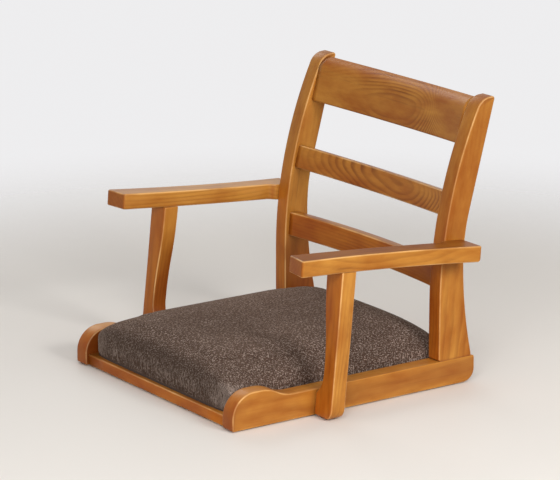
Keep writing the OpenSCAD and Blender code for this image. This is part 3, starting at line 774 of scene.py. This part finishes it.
def tweed(name):
    """Tweed: crossed yarns under two millimetres apart, a mottled ground, and short slubs that are light or
    dark and lie along either yarn. Ribs show down the sides, and the front is painted a little darker, as
    painted shade. The pattern follows the cloth through the piece's own UV map."""
    f = finish()
    g = Graph(name)
    uv = g.node("ShaderNodeUVMap", {"uv_map": "cloth"}).outputs[0]
    u, v = g.split(uv)[:2]
    jitter = g.noise(uv, 60.0, detail=2.0, move=2.0) - MIDDLE
    warp = (u * WARP + jitter * WANDER).math("SINE") * 0.5 + 0.5
    weft = (v * WEFT + jitter * WANDER).math("SINE") * 0.5 + 0.5
    weave = warp * 0.5 + weft * 0.5
    mottle = g.noise(uv, 420.0, detail=2.0, roughness=0.6, move=1.0)
    blotch = g.noise(uv, 34.0, detail=3.0, move=4.0)
    slub_u = g.noise(g.stretch(uv, (*SLUB, 1.0)), detail=1.0, move=6.0)
    slub_v = g.noise(g.stretch(uv, (*SLUB[::-1], 1.0)), detail=1.0, move=8.0)
    dark_u = g.noise(g.stretch(uv, DARK), detail=1.0, move=11.0)
    ribs_u = g.noise(g.stretch(uv, (*RIB, 1.0)), detail=1.0, move=13.0) * g.attribute("hang_u")
    ribs_v = g.noise(g.stretch(uv, (*RIB[::-1], 1.0)), detail=1.0, move=15.0) * g.attribute("hang_v")
    light = slub_u.step(*LIGHT_START) + slub_v.step(*LIGHT_START) + (ribs_u + ribs_v).step(*RIB_START)
    light = light.clamp()
    dark = dark_u.step(*DARK_START)
    ground = (0.58 + (mottle - MIDDLE) * 2.8 + (blotch - MIDDLE) * 0.4 + (weave - MIDDLE) * 0.6).clamp()
    base = g.mix(ground, tuple(f.dark_fleck_and_front_shade), tuple(f.yarn))
    base = g.mix((light * (0.70 + (blotch - MIDDLE) * 1.6)).clamp(), base, tuple(f.fleck))
    base = g.mix(dark * 0.75, base, tuple(f.dark_fleck_and_front_shade))
    # Painted shade: faces that look forward are darkened towards the dark fleck colour
    ahead = g.facing()[1]
    base = g.mix((ahead * -1.0).step(0.4, 0.9) * 0.35, base, tuple(f.dark_fleck_and_front_shade))
    g.surface(base, 0.86 + mottle * 0.12)
    g.bump(weave * 0.4 + mottle * 0.6 + light * 0.5 - dark * 0.4, PILE, 0.8)
    g.constants(Specular_IOR_Level=0.06, Sheen_Weight=0.14, Sheen_Roughness=0.45, Sheen_Tint=(*f.nap, 1.0))
    return g.material


def felt(name):
    """Pressed felt: a fine random nap."""
    f = finish()
    g = Graph(name)
    nap = g.noise(g.place(), 900.0, detail=3.0, roughness=0.7)
    dark, light = (tuple(c * share for c in f.felt) for share in (0.6, 1.6))
    g.surface(g.mix(nap, dark, light), 0.85 + nap * 0.1)
    g.bump(nap, 0.0003, 0.7)
    return g.material


def plated(name):
    """Zinc-plated steel with faint turning marks."""
    g = Graph(name)
    marks = g.noise(g.place(), 1400.0, detail=2.0)
    tint = tuple(finish().zinc)
    g.surface(g.mix(marks, tuple(c * 0.8 for c in tint), tint), 0.28 + marks * 0.15)
    g.constants(Metallic=1.0)
    return g.material


class CHAIR_OT_stage(bpy.types.Operator):
    """Lay the plain floor, hang the lamps and set up the camera at the photograph's angle"""

    bl_idname = "chair.stage"
    bl_label = "Stage"

    # The camera that the chair's own edges give, in the photograph's frame
    eye = (4.0865, -2.8726, 1.5461)
    yaw = 54.936
    pitch = 14.809
    lens = 199.73
    # Each lamp's direction from the chair and height above the horizon in degrees, its width and its power
    lamps = {
        "key": (8, 26, 1.1, 60.0),
        "eye": (-38, 32, 1.6, 40.0),
        "low": (-60, 12, 1.6, 22.0),
        "top": (0, 86, 1.6, 18.0),
        "rim": (170, 30, 1.6, 17.0),
        "rear": (95, 40, 1.6, 7.0),
    }
    # Where the lamps look, above the floor, and how far off they hang
    aim = 0.2
    lamp_distance = 3.2
    sky = 0.15
    # The floor melts into the backdrop between these distances from the chair
    fade = (0.72, 1.7)

    def execute(self, context):
        scene = context.scene
        self.camera(scene)
        self.floor(scene)
        for name, values in self.lamps.items():
            self.lamp(scene, name, *values)
        self.world(scene)
        scene.view_settings.view_transform = "Standard"
        return {"FINISHED"}

    def camera(self, scene):
        """The photograph's camera."""
        data = bpy.data.cameras.new("camera")
        data.sensor_fit = "HORIZONTAL"
        data.sensor_width = 36.0
        data.lens = self.lens
        data.clip_end = 100.0
        camera = bpy.data.objects.new("camera", data)
        camera.location = self.eye
        camera.rotation_euler = (math.radians(90 - self.pitch), 0, math.radians(self.yaw))
        scene.collection.objects.link(camera)
        scene.camera = camera

    def floor(self, scene):
        """A plain floor, which melts into the backdrop far from the chair."""
        reach = 9.0
        mesh = bpy.data.meshes.new("floor")
        corners = [(-reach, -reach, 0), (reach, -reach, 0), (reach, reach, 0), (-reach, reach, 0)]
        mesh.from_pydata(corners, [], [(0, 1, 2, 3)])
        floor = bpy.data.objects.new("floor", mesh)
        scene.collection.objects.link(floor)
        g = Graph("plain_floor")
        x, y = g.split(g.place())[:2]
        g.feed(g.shader.inputs["Base Color"], (*finish().floor, 1.0))
        g.feed(g.shader.inputs["Alpha"], 1.0 - (x * x + y * y).root().step(*self.fade))
        g.constants(Roughness=0.55, Specular_IOR_Level=0.25)
        mesh.materials.append(g.material)

    def lamp(self, scene, name, way, height, width, power):
        """A round soft lamp that looks at the chair from that way and height."""
        data = bpy.data.lights.new(name, "AREA")
        data.shape = "DISK"
        data.size = width
        data.energy = power
        lamp = bpy.data.objects.new(name, data)
        way, height = math.radians(way), math.radians(height)
        flat = self.lamp_distance * math.cos(height)
        rise = self.lamp_distance * math.sin(height)
        lamp.location = (flat * math.cos(way), flat * math.sin(way), self.aim + rise)
        lamp.rotation_euler = (math.pi / 2 - height, 0, way + math.pi / 2)
        scene.collection.objects.link(lamp)

    def world(self, scene):
        """A soft sky whose light is grey, and which cameras and reflections see as the pale backdrop."""
        scene.world = bpy.data.worlds.new("studio")
        g = Graph("studio", scene.world)
        g.constants(Color=(1.0, 0.98, 0.96, 1.0), Strength=self.sky)
        seen = g.node("ShaderNodeBackground", {}, {"Color": (*finish().wall, 1.0)})
        path = g.node("ShaderNodeLightPath").outputs
        looks = Field(g, path["Is Camera Ray"])
        looks = looks.most(path["Is Glossy Ray"]).most(path["Is Transmission Ray"])
        ends = {"Fac": looks, 1: g.shader.outputs[0], 2: seen.outputs[0]}
        blend = g.node("ShaderNodeMixShader", {}, ends)
        g.feed(g.tree.nodes["World Output"].inputs["Surface"], blend.outputs[0])


class CHAIR_OT_side_frames(bpy.types.Operator):
    """Make the side rails and the back posts with rounded edges"""

    bl_idname = "chair.side_frames"
    bl_label = "Side frames"

    def execute(self, context):
        rail, post = rail_outline(), post_outline()
        under_post = near(rail[:, 0], post_front(), RAIL_REAR) * near(rail[:, 1], RAIL_H, RAIL_H, 0.002)
        post_foot = near(post[:, 1], RAIL_H, RAIL_H, 0.004)
        back_lean = math.radians(9.0)
        for name, hand in HANDS.items():
            piece = side_board("rail_" + name, rail, under_post, hand, 0)
            look = timber(
                "timber_rail_" + name, ALONG_Y, pith=(0.05, 0.06 * hand), flare=0.012, rings=170,
                figure=0.30, tone=0.08 + 0.06 * hand, seed=2.0 + hand,
            )
            dress(piece, "timber", look, "side_rail_" + name)
            piece = side_board("post_" + name, post, post_foot, hand, 1)
            look = timber(
                "timber_post_" + name, leaning(ALONG_Z, back_lean), pith=(0.03, 0.05), flare=0.02, rings=160,
                figure=0.30, tone=0.08 - 0.12 * hand, seed=6.0 + hand,
            )
            dress(piece, "timber", look, "back_post_" + name)
        return {"FINISHED"}


class CHAIR_OT_slats(bpy.types.Operator):
    """Make the three bent back slats"""

    bl_idname = "chair.slats"
    bl_label = "Back slats"

    stations = 49
    # The grain of each slat, as timber takes it
    grain = {
        "lower": {
            "pith": (0.16, 0.12), "flare": 0.03, "rings": 190, "figure": 0.30, "tone": -0.06, "seed": 12.0,
        },
        "middle": {
            "pith": (0.146, 0.352), "flare": 0.0, "rings": 230, "figure": 0.85, "tone": 0.0, "seed": 15.0,
            "heart": 0.07, "bulge": (0.35, 1.3),
        },
        "top": {
            "pith": (0.147, 0.464), "flare": 0.0, "rings": 230, "figure": 0.70, "tone": -0.06, "seed": 18.0,
            "heart": 0.045, "bulge": (0.16, 5.0),
        },
    }

    def bent(self, name, z, section, wear_and_highlight, lean, set_back):
        """A section carried between the posts. A point of it at a distance d from the front face lies on
        a circle of radius bow + d about one upright axis: y = -c + sqrt((bow + d)^2 - x^2)."""
        s = chair()
        bow = bowed(INNER_X, s.slat_bow)[0]
        centre = math.sqrt(bow ** 2 - INNER_X ** 2)
        x = np.linspace(-INNER_X + SET, INNER_X - SET, self.stations)[:, None]
        depth, height = section
        y = np.sqrt((bow + depth) ** 2 - x ** 2) - centre
        rings = np.stack([x + 0 * y, y, height + 0 * y], -1)
        origin = (0, post_front_at(z) + set_back, z)
        return skin(name, lift(tilt(rings, lean, origin)), wear_and_highlight)

    def plain(self, width):
        """A slat's section: a rectangle with rounded edges, as depth and height."""
        s = chair()
        u, v, wear_and_highlight = section_loop(0, s.slat_t, 0, width, s.slat_edge)
        return (u[0], v[0]), wear_and_highlight

    def capped(self, width):
        """The top slat's section, whose front top edge is one large round."""
        s = chair()
        start = math.degrees(math.acos(max((s.slat_t - s.top_round) / s.top_round, -1)))
        outline = soften(outline_of(
            [0, 0], [s.slat_t, 0],
            arc((s.top_round, width - s.top_round), s.top_round, start, 180),
        ), s.slat_edge, sharp=60.0)
        return tuple(outline.T), 0.0

    def execute(self, context):
        s = chair()
        top_z = POST_TOP - s.top_drop
        face = s.top_w - s.top_round
        reach = post_front_at(top_z + face * math.cos(s.lean)) - face * math.sin(s.lean)
        top_set = reach - post_front_at(top_z) + s.top_set
        slats = (
            ("lower", self.plain(s.low_w), s.low_z, s.low_lean, s.low_set),
            ("middle", self.plain(s.mid_w), s.mid_z, s.lean, s.mid_set),
            ("top", self.capped(s.top_w), top_z, s.lean, top_set),
        )
        for name, (section, wear_and_highlight), z, lean, set_back in slats:
            piece = self.bent("slat_" + name, z, section, wear_and_highlight, lean, set_back)
            look = timber("timber_slat_" + name, leaning(ALONG_X, lean), **self.grain[name])
            dress(piece, "timber", look, name + "_slat")
        return {"FINISHED"}


class CHAIR_OT_arms(bpy.types.Operator):
    """Make the bowed armrests and the leaning supports under them"""

    bl_idname = "chair.arms"
    bl_label = "Arms and supports"

    # The tint of each arm's top face, a painted reflection on the left and painted shade on the right, and
    # its gloss
    tops = {"left": ((1.05, 1.18, 1.80), 0.20), "right": ((0.56, 0.45, 0.31), 0.02)}
    # Rings of a support's foot and of the rest, which start at a height of foot_end
    foot_rings, shaft_rings, foot_end = 19, 90, 0.020
    # Height from which the support's rings turn towards the slope of the arm's underside
    cut_start = 0.15

    def arm_ends(self):
        """The arm's front end and its rear end."""
        s = chair()
        front = RAIL_FRONT + s.arm_back
        rear = post_waist() - s.arm_end_set
        return front, rear

    def arm_outline(self):
        """The arm in plan. Its outer edge bows in along one arc, its inner edge along another, and two
        equal arcs that meet smoothly bring it in to the post."""
        s = chair()
        front, rear = self.arm_ends()
        inner, outer = OUTER_X + s.arm_out, OUTER_X + s.arm_out + s.arm_w
        cheek_end = post_front_at(s.arm_z - s.arm_t) + s.cheek_lap
        cheek_start = cheek_end - s.cheek_run
        cheek_r, cheek_a = double_arc(s.cheek_run, s.arm_out - SET)
        outer_r, outer_a = bowed((rear - front) / 2, s.arm_outer_bow)
        inner_half = (cheek_start - front - s.arm_skew) / 2
        inner_r, inner_a = bowed(inner_half, s.arm_inner_bow)
        outer_centre = (outer - s.arm_outer_bow + outer_r, (front + rear) / 2)
        inner_centre = (inner - s.arm_inner_bow + inner_r, cheek_start - inner_half)
        return soften(outline_of(
            arc(outer_centre, outer_r, 180 + outer_a, 180 - outer_a),
            [OUTER_X + SET, rear],
            arc((OUTER_X + SET + cheek_r, cheek_end), cheek_r, 180, 180 + cheek_a),
            arc((inner - cheek_r, cheek_start), cheek_r, cheek_a, 0),
            arc(inner_centre, inner_r, 180 - inner_a, 180 + inner_a),
        ), s.arm_corner, sharp=45.0)

    def arm(self, name, hand):
        """The arm's board, turned to its fall. Its rear bottom edge is rounder, and the edges against the
        post are sharper."""
        s = chair()
        outline = self.arm_outline()
        rear = self.arm_ends()[1]
        beside = near(outline[:, 0], 0, OUTER_X + SET, 0.001)
        against_post = beside * near(outline[:, 1], post_front(), rear, 0.004)
        rim = s.edge - (s.edge - s.joint_edge * 2) * against_post
        heel = near(outline[:, 1], rear, rear, 0.006) * (1 - against_post)
        rings, wear_and_highlight = board_rings(outline, -s.arm_t, 0, rim + (s.arm_heel - s.edge) * heel * 0.5, rim)
        points = tilt(rings, s.arm_fall, (0, 0, s.arm_z))
        return skin("arm_" + name, lift(side(points, hand)), wear_and_highlight * (1 - against_post), facing(outline, 1))

    def support_sides(self, z):
        """The support's inner and outer face at height z. From under the arm two equal arcs that meet
        smoothly bring the inner face out to the waist, and a third arc brings it back to the side rail."""
        s = chair()
        outer = OUTER_X + s.arm_out + s.arm_w - s.sup_set - s.sup_taper * z / s.arm_z
        top = s.arm_z - s.arm_t
        run, rise = top - s.waist_z, s.sup_waist - s.sup_crown
        radius = double_arc(run, rise)[0]
        down = np.clip(top - z, 0, run)
        first = radius - np.sqrt(radius ** 2 - np.minimum(down, run / 2) ** 2)
        second = rise - radius + np.sqrt(radius ** 2 - np.minimum(run - down, run / 2) ** 2)
        sweep = s.sup_crown + np.where(down < run / 2, first, second)
        below = np.clip(s.waist_z - z, 0, s.waist_r)
        hollow = s.sup_waist - s.waist_r + np.sqrt(s.waist_r ** 2 - below ** 2)
        return OUTER_X + np.maximum(np.where(z > s.waist_z, sweep, hollow), SET), outer

    def drawn(self, radius, z):
        """How far a quarter circle of that radius at the foot draws a face in at height z."""
        return radius - np.sqrt(np.maximum(radius ** 2 - np.maximum(radius - z, 0) ** 2, 0))

    def support(self, name, hand):
        """A leaning upright: at each height a rectangle with rounded corners, drawn in at the foot by a
        quarter circle on each side, and cut at the top by the arm's underside."""
        s = chair()
        top = s.arm_z - s.arm_t
        foot = s.sup_round * (1 - np.cos(np.radians(np.linspace(0, 90, self.foot_rings))))
        z = np.concatenate([foot, np.linspace(self.foot_end, top, self.shaft_rings)])
        ends, inward, rounded = (self.drawn(radius, z) for radius in (s.sup_toe, s.sup_heel, s.sup_round))
        inner, outer = self.support_sides(z)
        front = RAIL_FRONT + s.arm_back + s.sup_back + z * math.tan(s.sup_lean)
        u, v, wear_and_highlight = section_loop(
            inner + inward, outer - rounded, front + ends, front + s.sup_d - ends, s.sup_edge,
        )
        rings = np.stack([u, v, z[:, None] + 0 * u], -1)
        under = s.arm_z - s.arm_t / math.cos(s.arm_fall) - rings[..., 1] * math.tan(s.arm_fall)
        share = np.clip((z - self.cut_start) / (top - self.cut_start), 0, 1)[:, None]
        rings[..., 2] += share * (under - SET - top)
        return skin("support_" + name, lift(side(rings, hand)), wear_and_highlight)

    def execute(self, context):
        s = chair()
        for name, hand in HANDS.items():
            top_sheen_and_shade, coat = self.tops[name]
            look = timber(
                "timber_arm_" + name, leaning(ALONG_Y, s.arm_fall), pith=(-0.20 * hand, 0.31), flare=0.02,
                rings=150, figure=0.30, tone=0.22 - 0.10 * hand, seed=21.0 + hand, top_sheen_and_shade=top_sheen_and_shade, coat=coat,
            )
            dress(self.arm(name, hand), "timber", look, "armrest_" + name)
            look = timber(
                "timber_support_" + name, leaning(ALONG_Z, s.sup_lean), pith=(0.02, -0.2 * hand),
                flare=0.015, rings=150, figure=0.25, tone=0.06 - 0.02 * hand, seed=25.0 + hand,
            )
            dress(self.support(name, hand), "timber", look, "arm_support_" + name)
        return {"FINISHED"}


class CHAIR_OT_seat_frame(bpy.types.Operator):
    """Make the cross rails and finish the hidden wood, the pads and the fastenings"""

    bl_idname = "chair.seat_frame"
    bl_label = "Seat frame"

    # Width of the cover's cloth that is turned in under the panel's border
    hem_width = 0.024

    def bar(self, name, node):
        """A rail between the side frames: a rectangle with rounded edges, carried straight along X."""
        s = chair()
        low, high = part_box(node)
        u, v, wear_and_highlight = section_loop(low.y, high.y, low.z, high.z, s.edge)
        x = np.linspace(low.x, high.x, 9)[:, None]
        rings = np.stack([x + 0 * u, u + 0 * x, v + 0 * x], -1)
        return skin(name, rings, wear_and_highlight)

    def execute(self, context):
        f = finish()
        low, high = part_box("seat_panel")
        hem = (high.x - self.hem_width, (high.y - low.y) / 2 - self.hem_width, (high.y + low.y) / 2)
        for number, name in enumerate(("front", "middle", "rear")):
            look = timber(
                "timber_%s_rail" % name, ALONG_X, pith=(0.1, 0.05 + 0.03 * number), flare=0.01, rings=150,
                figure=0.28, tone=-0.02, seed=30.0 + number,
            )
            dress(self.bar("rail_" + name, name + "_rail"), "timber", look, name + "_rail")
        looks = {
            "seat_cleats": bare_wood("bare_cleats", f.bare, ALONG_Y, 1.0),
            "seat_panel": bare_wood("bare_panel", f.ply, ALONG_Y, 3.0, hem),
        }
        dowels = {"rail": ALONG_X, "post": ALONG_Z, "arm": ALONG_X, "support": ALONG_Z}
        for number, (place, turn) in enumerate(dowels.items()):
            look = bare_wood("bare_%s_dowels" % place, f.bare, turn, 5.0 + 2.0 * number)
            looks[place + "_dowels"] = look
        for place in ("support", "cleat", "seat"):
            looks[place + "_screws"] = plated("zinc_%s_screws" % place)
        for node in ("rail_pads", "foot_glides"):
            looks[node] = felt("felt_" + node)
        for node, look in looks.items():
            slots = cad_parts[node].data.materials
            slots.clear()
            slots.append(look)
        return {"FINISHED"}


class CHAIR_OT_seat(bpy.types.Operator):
    """Make the crowned seat, swell its cover and dress it in tweed"""

    bl_idname = "chair.seat"
    bl_label = "Seat"

    steps = 40
    wall_steps = 12
    # The cloth's frames, pressure, stiffness, and how far below the rail's top its foot is held
    frames, pressure, stiffness, bending, held_below = 20, 4.0, 25.0, 0.6, 0.006
    # How quickly the sides' direction takes over in the cloth's map, across the seat and along it
    side_map, end_map = 8, 12
    # How sharply the crown falls at the sides and at the ends, and how square it is in plan
    side_power, side_fall = 3, 0.45
    end_power, end_fall = 6, 0.3
    corner_power, corner_cut = 10, 0.03

    def crown(self, slack, sunk):
        """The seat's top on a grid of u and t, each from -1 to 1 and finer towards the edges: a height of
        shoulder + rise (1 - |u|^3)^0.45 (1 - |t|^6)^0.3, with the corners cut and the sides drawn in."""
        s = chair()
        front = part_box("front_rail")[0].y + s.seat_front
        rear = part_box("rear_rail")[0].y - s.seat_rear
        share = np.sin(np.linspace(-math.pi / 2, math.pi / 2, 2 * self.steps + 1))
        t, u = np.meshgrid(share, share, indexing="ij")
        cut = 1 - self.corner_cut * np.abs(u * t) ** self.corner_power
        x = (INNER_X - s.seat_side - slack) * u * cut - s.draw_in * u * np.abs(u) ** 3 * (1 - t * t)
        y = (front + rear) / 2 + ((rear - front) / 2 - slack) * t * cut
        fall = (1 - np.abs(u) ** self.side_power) ** self.side_fall
        fall = fall * (1 - np.abs(t) ** self.end_power) ** self.end_fall
        z = LIFT + s.shoulder_z + (s.crown_z - s.shoulder_z - sunk) * fall
        return np.stack([x, y, z], -1)

    def rim(self, grid):
        """The grid's border, once round from its first corner."""
        return np.vstack([grid[0, :-1], grid[:-1, -1], grid[-1, :0:-1], grid[:0:-1, 0]])

    def body(self, name, slack, sunk):
        """A closed mesh of the seat: the crown, walls that go down from its rim, and a flat base. Near the
        base the walls turn in by tuck (1 - height / tuck height)^2."""
        s = chair()
        grid = self.crown(slack, sunk)
        base_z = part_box("seat_cover")[0].z
        rim = self.rim(grid)
        n = grid.shape[0]
        into, out = around(rim[:, :2])
        inward = np.column_stack([-(into + out)[:, 1], (into + out)[:, 0]])
        inward /= np.linalg.norm(inward, axis=1, keepdims=True)
        level = np.linspace(1, 0, self.wall_steps + 1)[1:, None]
        height = level * (rim[:, 2] - base_z)
        inset = s.tuck * np.clip(1 - height / s.tuck_h, 0, 1) ** 2
        walls = np.dstack([rim[:, :2] + inset[..., None] * inward, base_z + height])
        points = np.vstack([grid.reshape(-1, 3), walls.reshape(-1, 3)])
        index = np.arange(n * n).reshape(n, n)
        top = np.stack([index[:-1, :-1], index[:-1, 1:], index[1:, 1:], index[1:, :-1]], -1).reshape(-1, 4)
        loops = [self.rim(index[..., None])[:, 0]]
        loops += [n * n + k * len(rim) + np.arange(len(rim)) for k in range(self.wall_steps)]
        pairs = zip(loops[:-1], loops[1:])
        sides = [np.column_stack([a, np.roll(a, -1), np.roll(b, -1), b]) for a, b in pairs]
        faces = top.tolist() + np.vstack(sides).tolist() + [loops[-1].tolist()]
        mesh = bpy.data.meshes.new(name)
        mesh.from_pydata(points.tolist(), [], faces)
        tidy = bmesh.new()
        tidy.from_mesh(mesh)
        bmesh.ops.recalc_face_normals(tidy, faces=tidy.faces)
        tidy.to_mesh(mesh)
        tidy.free()
        piece = bpy.data.objects.new(name, mesh)
        bpy.context.scene.collection.objects.link(piece)
        return piece

    def apply(self, piece):
        """The piece's mesh with its modifiers applied."""
        view = bpy.context.evaluated_depsgraph_get()
        mesh = bpy.data.meshes.new_from_object(piece.evaluated_get(view))
        piece.modifiers.clear()
        piece.data = mesh

    def vectors(self, mesh, kind):
        """The mesh's points or its normals at them, one row each."""
        rows = np.empty(len(mesh.vertices) * 3)
        if kind == "normal":
            mesh.vertex_normals.foreach_get("vector", rows)
        else:
            mesh.vertices.foreach_get("co", rows)
        return rows.reshape(-1, 3)

    def swell(self, piece):
        """Fills the cover: the mesh is made even and blown up a little as cloth whose foot is held. Of its
        way each point keeps the part along its normal, if that leads outwards, and at most the swell."""
        s = chair()
        scene = bpy.context.scene
        remesh = piece.modifiers.new("even", "REMESH")
        remesh.mode = "VOXEL"
        remesh.voxel_size = s.voxel
        self.apply(piece)
        rest, normal = self.vectors(piece.data, "position"), self.vectors(piece.data, "normal")
        held = piece.vertex_groups.new(name="held")
        foot = np.flatnonzero(rest[:, 2] < LIFT + RAIL_H - self.held_below)
        held.add(foot.tolist(), 1.0, "REPLACE")
        cloth = piece.modifiers.new("cloth", "CLOTH")
        settings = cloth.settings
        settings.effector_weights.gravity = 0.0
        settings.use_pressure = True
        settings.uniform_pressure_force = self.pressure
        settings.vertex_group_mass = "held"
        settings.quality = 5
        settings.tension_stiffness = self.stiffness
        settings.compression_stiffness = self.stiffness
        settings.bending_stiffness = self.bending
        for number in range(1, self.frames + 1):
            scene.frame_set(number)
        self.apply(piece)
        out = ((self.vectors(piece.data, "position") - rest) * normal).sum(1, keepdims=True)
        full = rest + normal * np.clip(out, 0, s.swell)
        piece.data.vertices.foreach_set("co", full.reshape(-1))
        scene.frame_set(1)

    def smooth(self, piece):
        """One level of subdivision, applied, with smooth shading."""
        finer = piece.modifiers.new("finer", "SUBSURF")
        finer.levels = finer.render_levels = 1
        self.apply(piece)
        piece.data.polygons.foreach_set("use_smooth", np.ones(len(piece.data.polygons), bool))

    def cloth_map(self, piece):
        """A UV map in metres that follows the cloth: x and y on the top, and on a side the height below
        the crown is added in the direction that the side faces."""
        s = chair()
        mesh = piece.data
        points = self.vectors(mesh, "position")
        low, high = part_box("seat_cover")
        middle = (low.y + high.y) / 2
        u = points[:, 0] / high.x
        t = (points[:, 1] - middle) / ((high.y - low.y) / 2)
        drop = LIFT + s.crown_z - points[:, 2]
        weight_u, weight_t = np.abs(u) ** self.side_map, np.abs(t) ** self.end_map
        cloth = np.column_stack([
            points[:, 0] + np.sign(u) * drop * weight_u,
            points[:, 1] + np.sign(t) * drop * weight_t,
        ])
        for label, values in (("hang_u", weight_u), ("hang_v", weight_t)):
            mesh.attributes.new(label, "FLOAT", "POINT").data.foreach_set("value", values.astype(np.float32))
        keep_direction(mesh)
        corner = np.empty(len(mesh.loops), np.int32)
        mesh.loops.foreach_get("vertex_index", corner)
        layer = mesh.uv_layers.new(name="cloth")
        layer.data.foreach_set("uv", cloth[corner].astype(np.float32).reshape(-1))

    def execute(self, context):
        s = chair()
        piece = self.body("seat", s.slack, s.swell)
        self.swell(piece)
        self.smooth(piece)
        self.cloth_map(piece)
        dress(piece, "tweed", tweed("tweed_cover"), "seat_cover", "seat_foam")
        return {"FINISHED"}


class CHAIR_PT_panel(bpy.types.Panel):
    """The chair's pieces, sizes and colours"""

    bl_label = "Floor chair"
    bl_idname = "CHAIR_PT_panel"
    bl_space_type = "VIEW_3D"
    bl_region_type = "UI"
    bl_category = "Floor chair"

    def draw(self, context):
        layout = self.layout
        for operator in OPERATORS:
            layout.operator(operator.bl_idname)
        for group in (context.scene.chair_sizes, context.scene.chair_finish):
            box = layout.box()
            for name in group.bl_rna.properties.keys():
                if name not in ("rna_type", "name"):
                    box.prop(group, name)


OPERATORS = (
    CHAIR_OT_stage,
    CHAIR_OT_side_frames,
    CHAIR_OT_slats,
    CHAIR_OT_arms,
    CHAIR_OT_seat_frame,
    CHAIR_OT_seat,
)
CLASSES = (ChairSizes, ChairFinish, *OPERATORS, CHAIR_PT_panel)


def register():
    """Makes the sizes, the colours, the operators and the panel known."""
    for item in CLASSES:
        bpy.utils.register_class(item)
    bpy.types.Scene.chair_sizes = PointerProperty(type=ChairSizes)
    bpy.types.Scene.chair_finish = PointerProperty(type=ChairFinish)


def unregister():
    """Takes them back."""
    del bpy.types.Scene.chair_finish
    del bpy.types.Scene.chair_sizes
    for item in reversed(CLASSES):
        bpy.utils.unregister_class(item)


def main():
    """Builds the chair."""
    register()
    bpy.ops.chair.stage()
    bpy.ops.chair.side_frames()
    bpy.ops.chair.slats()
    bpy.ops.chair.arms()
    bpy.ops.chair.seat_frame()
    bpy.ops.chair.seat()


if __name__ == "__main__":
    main()
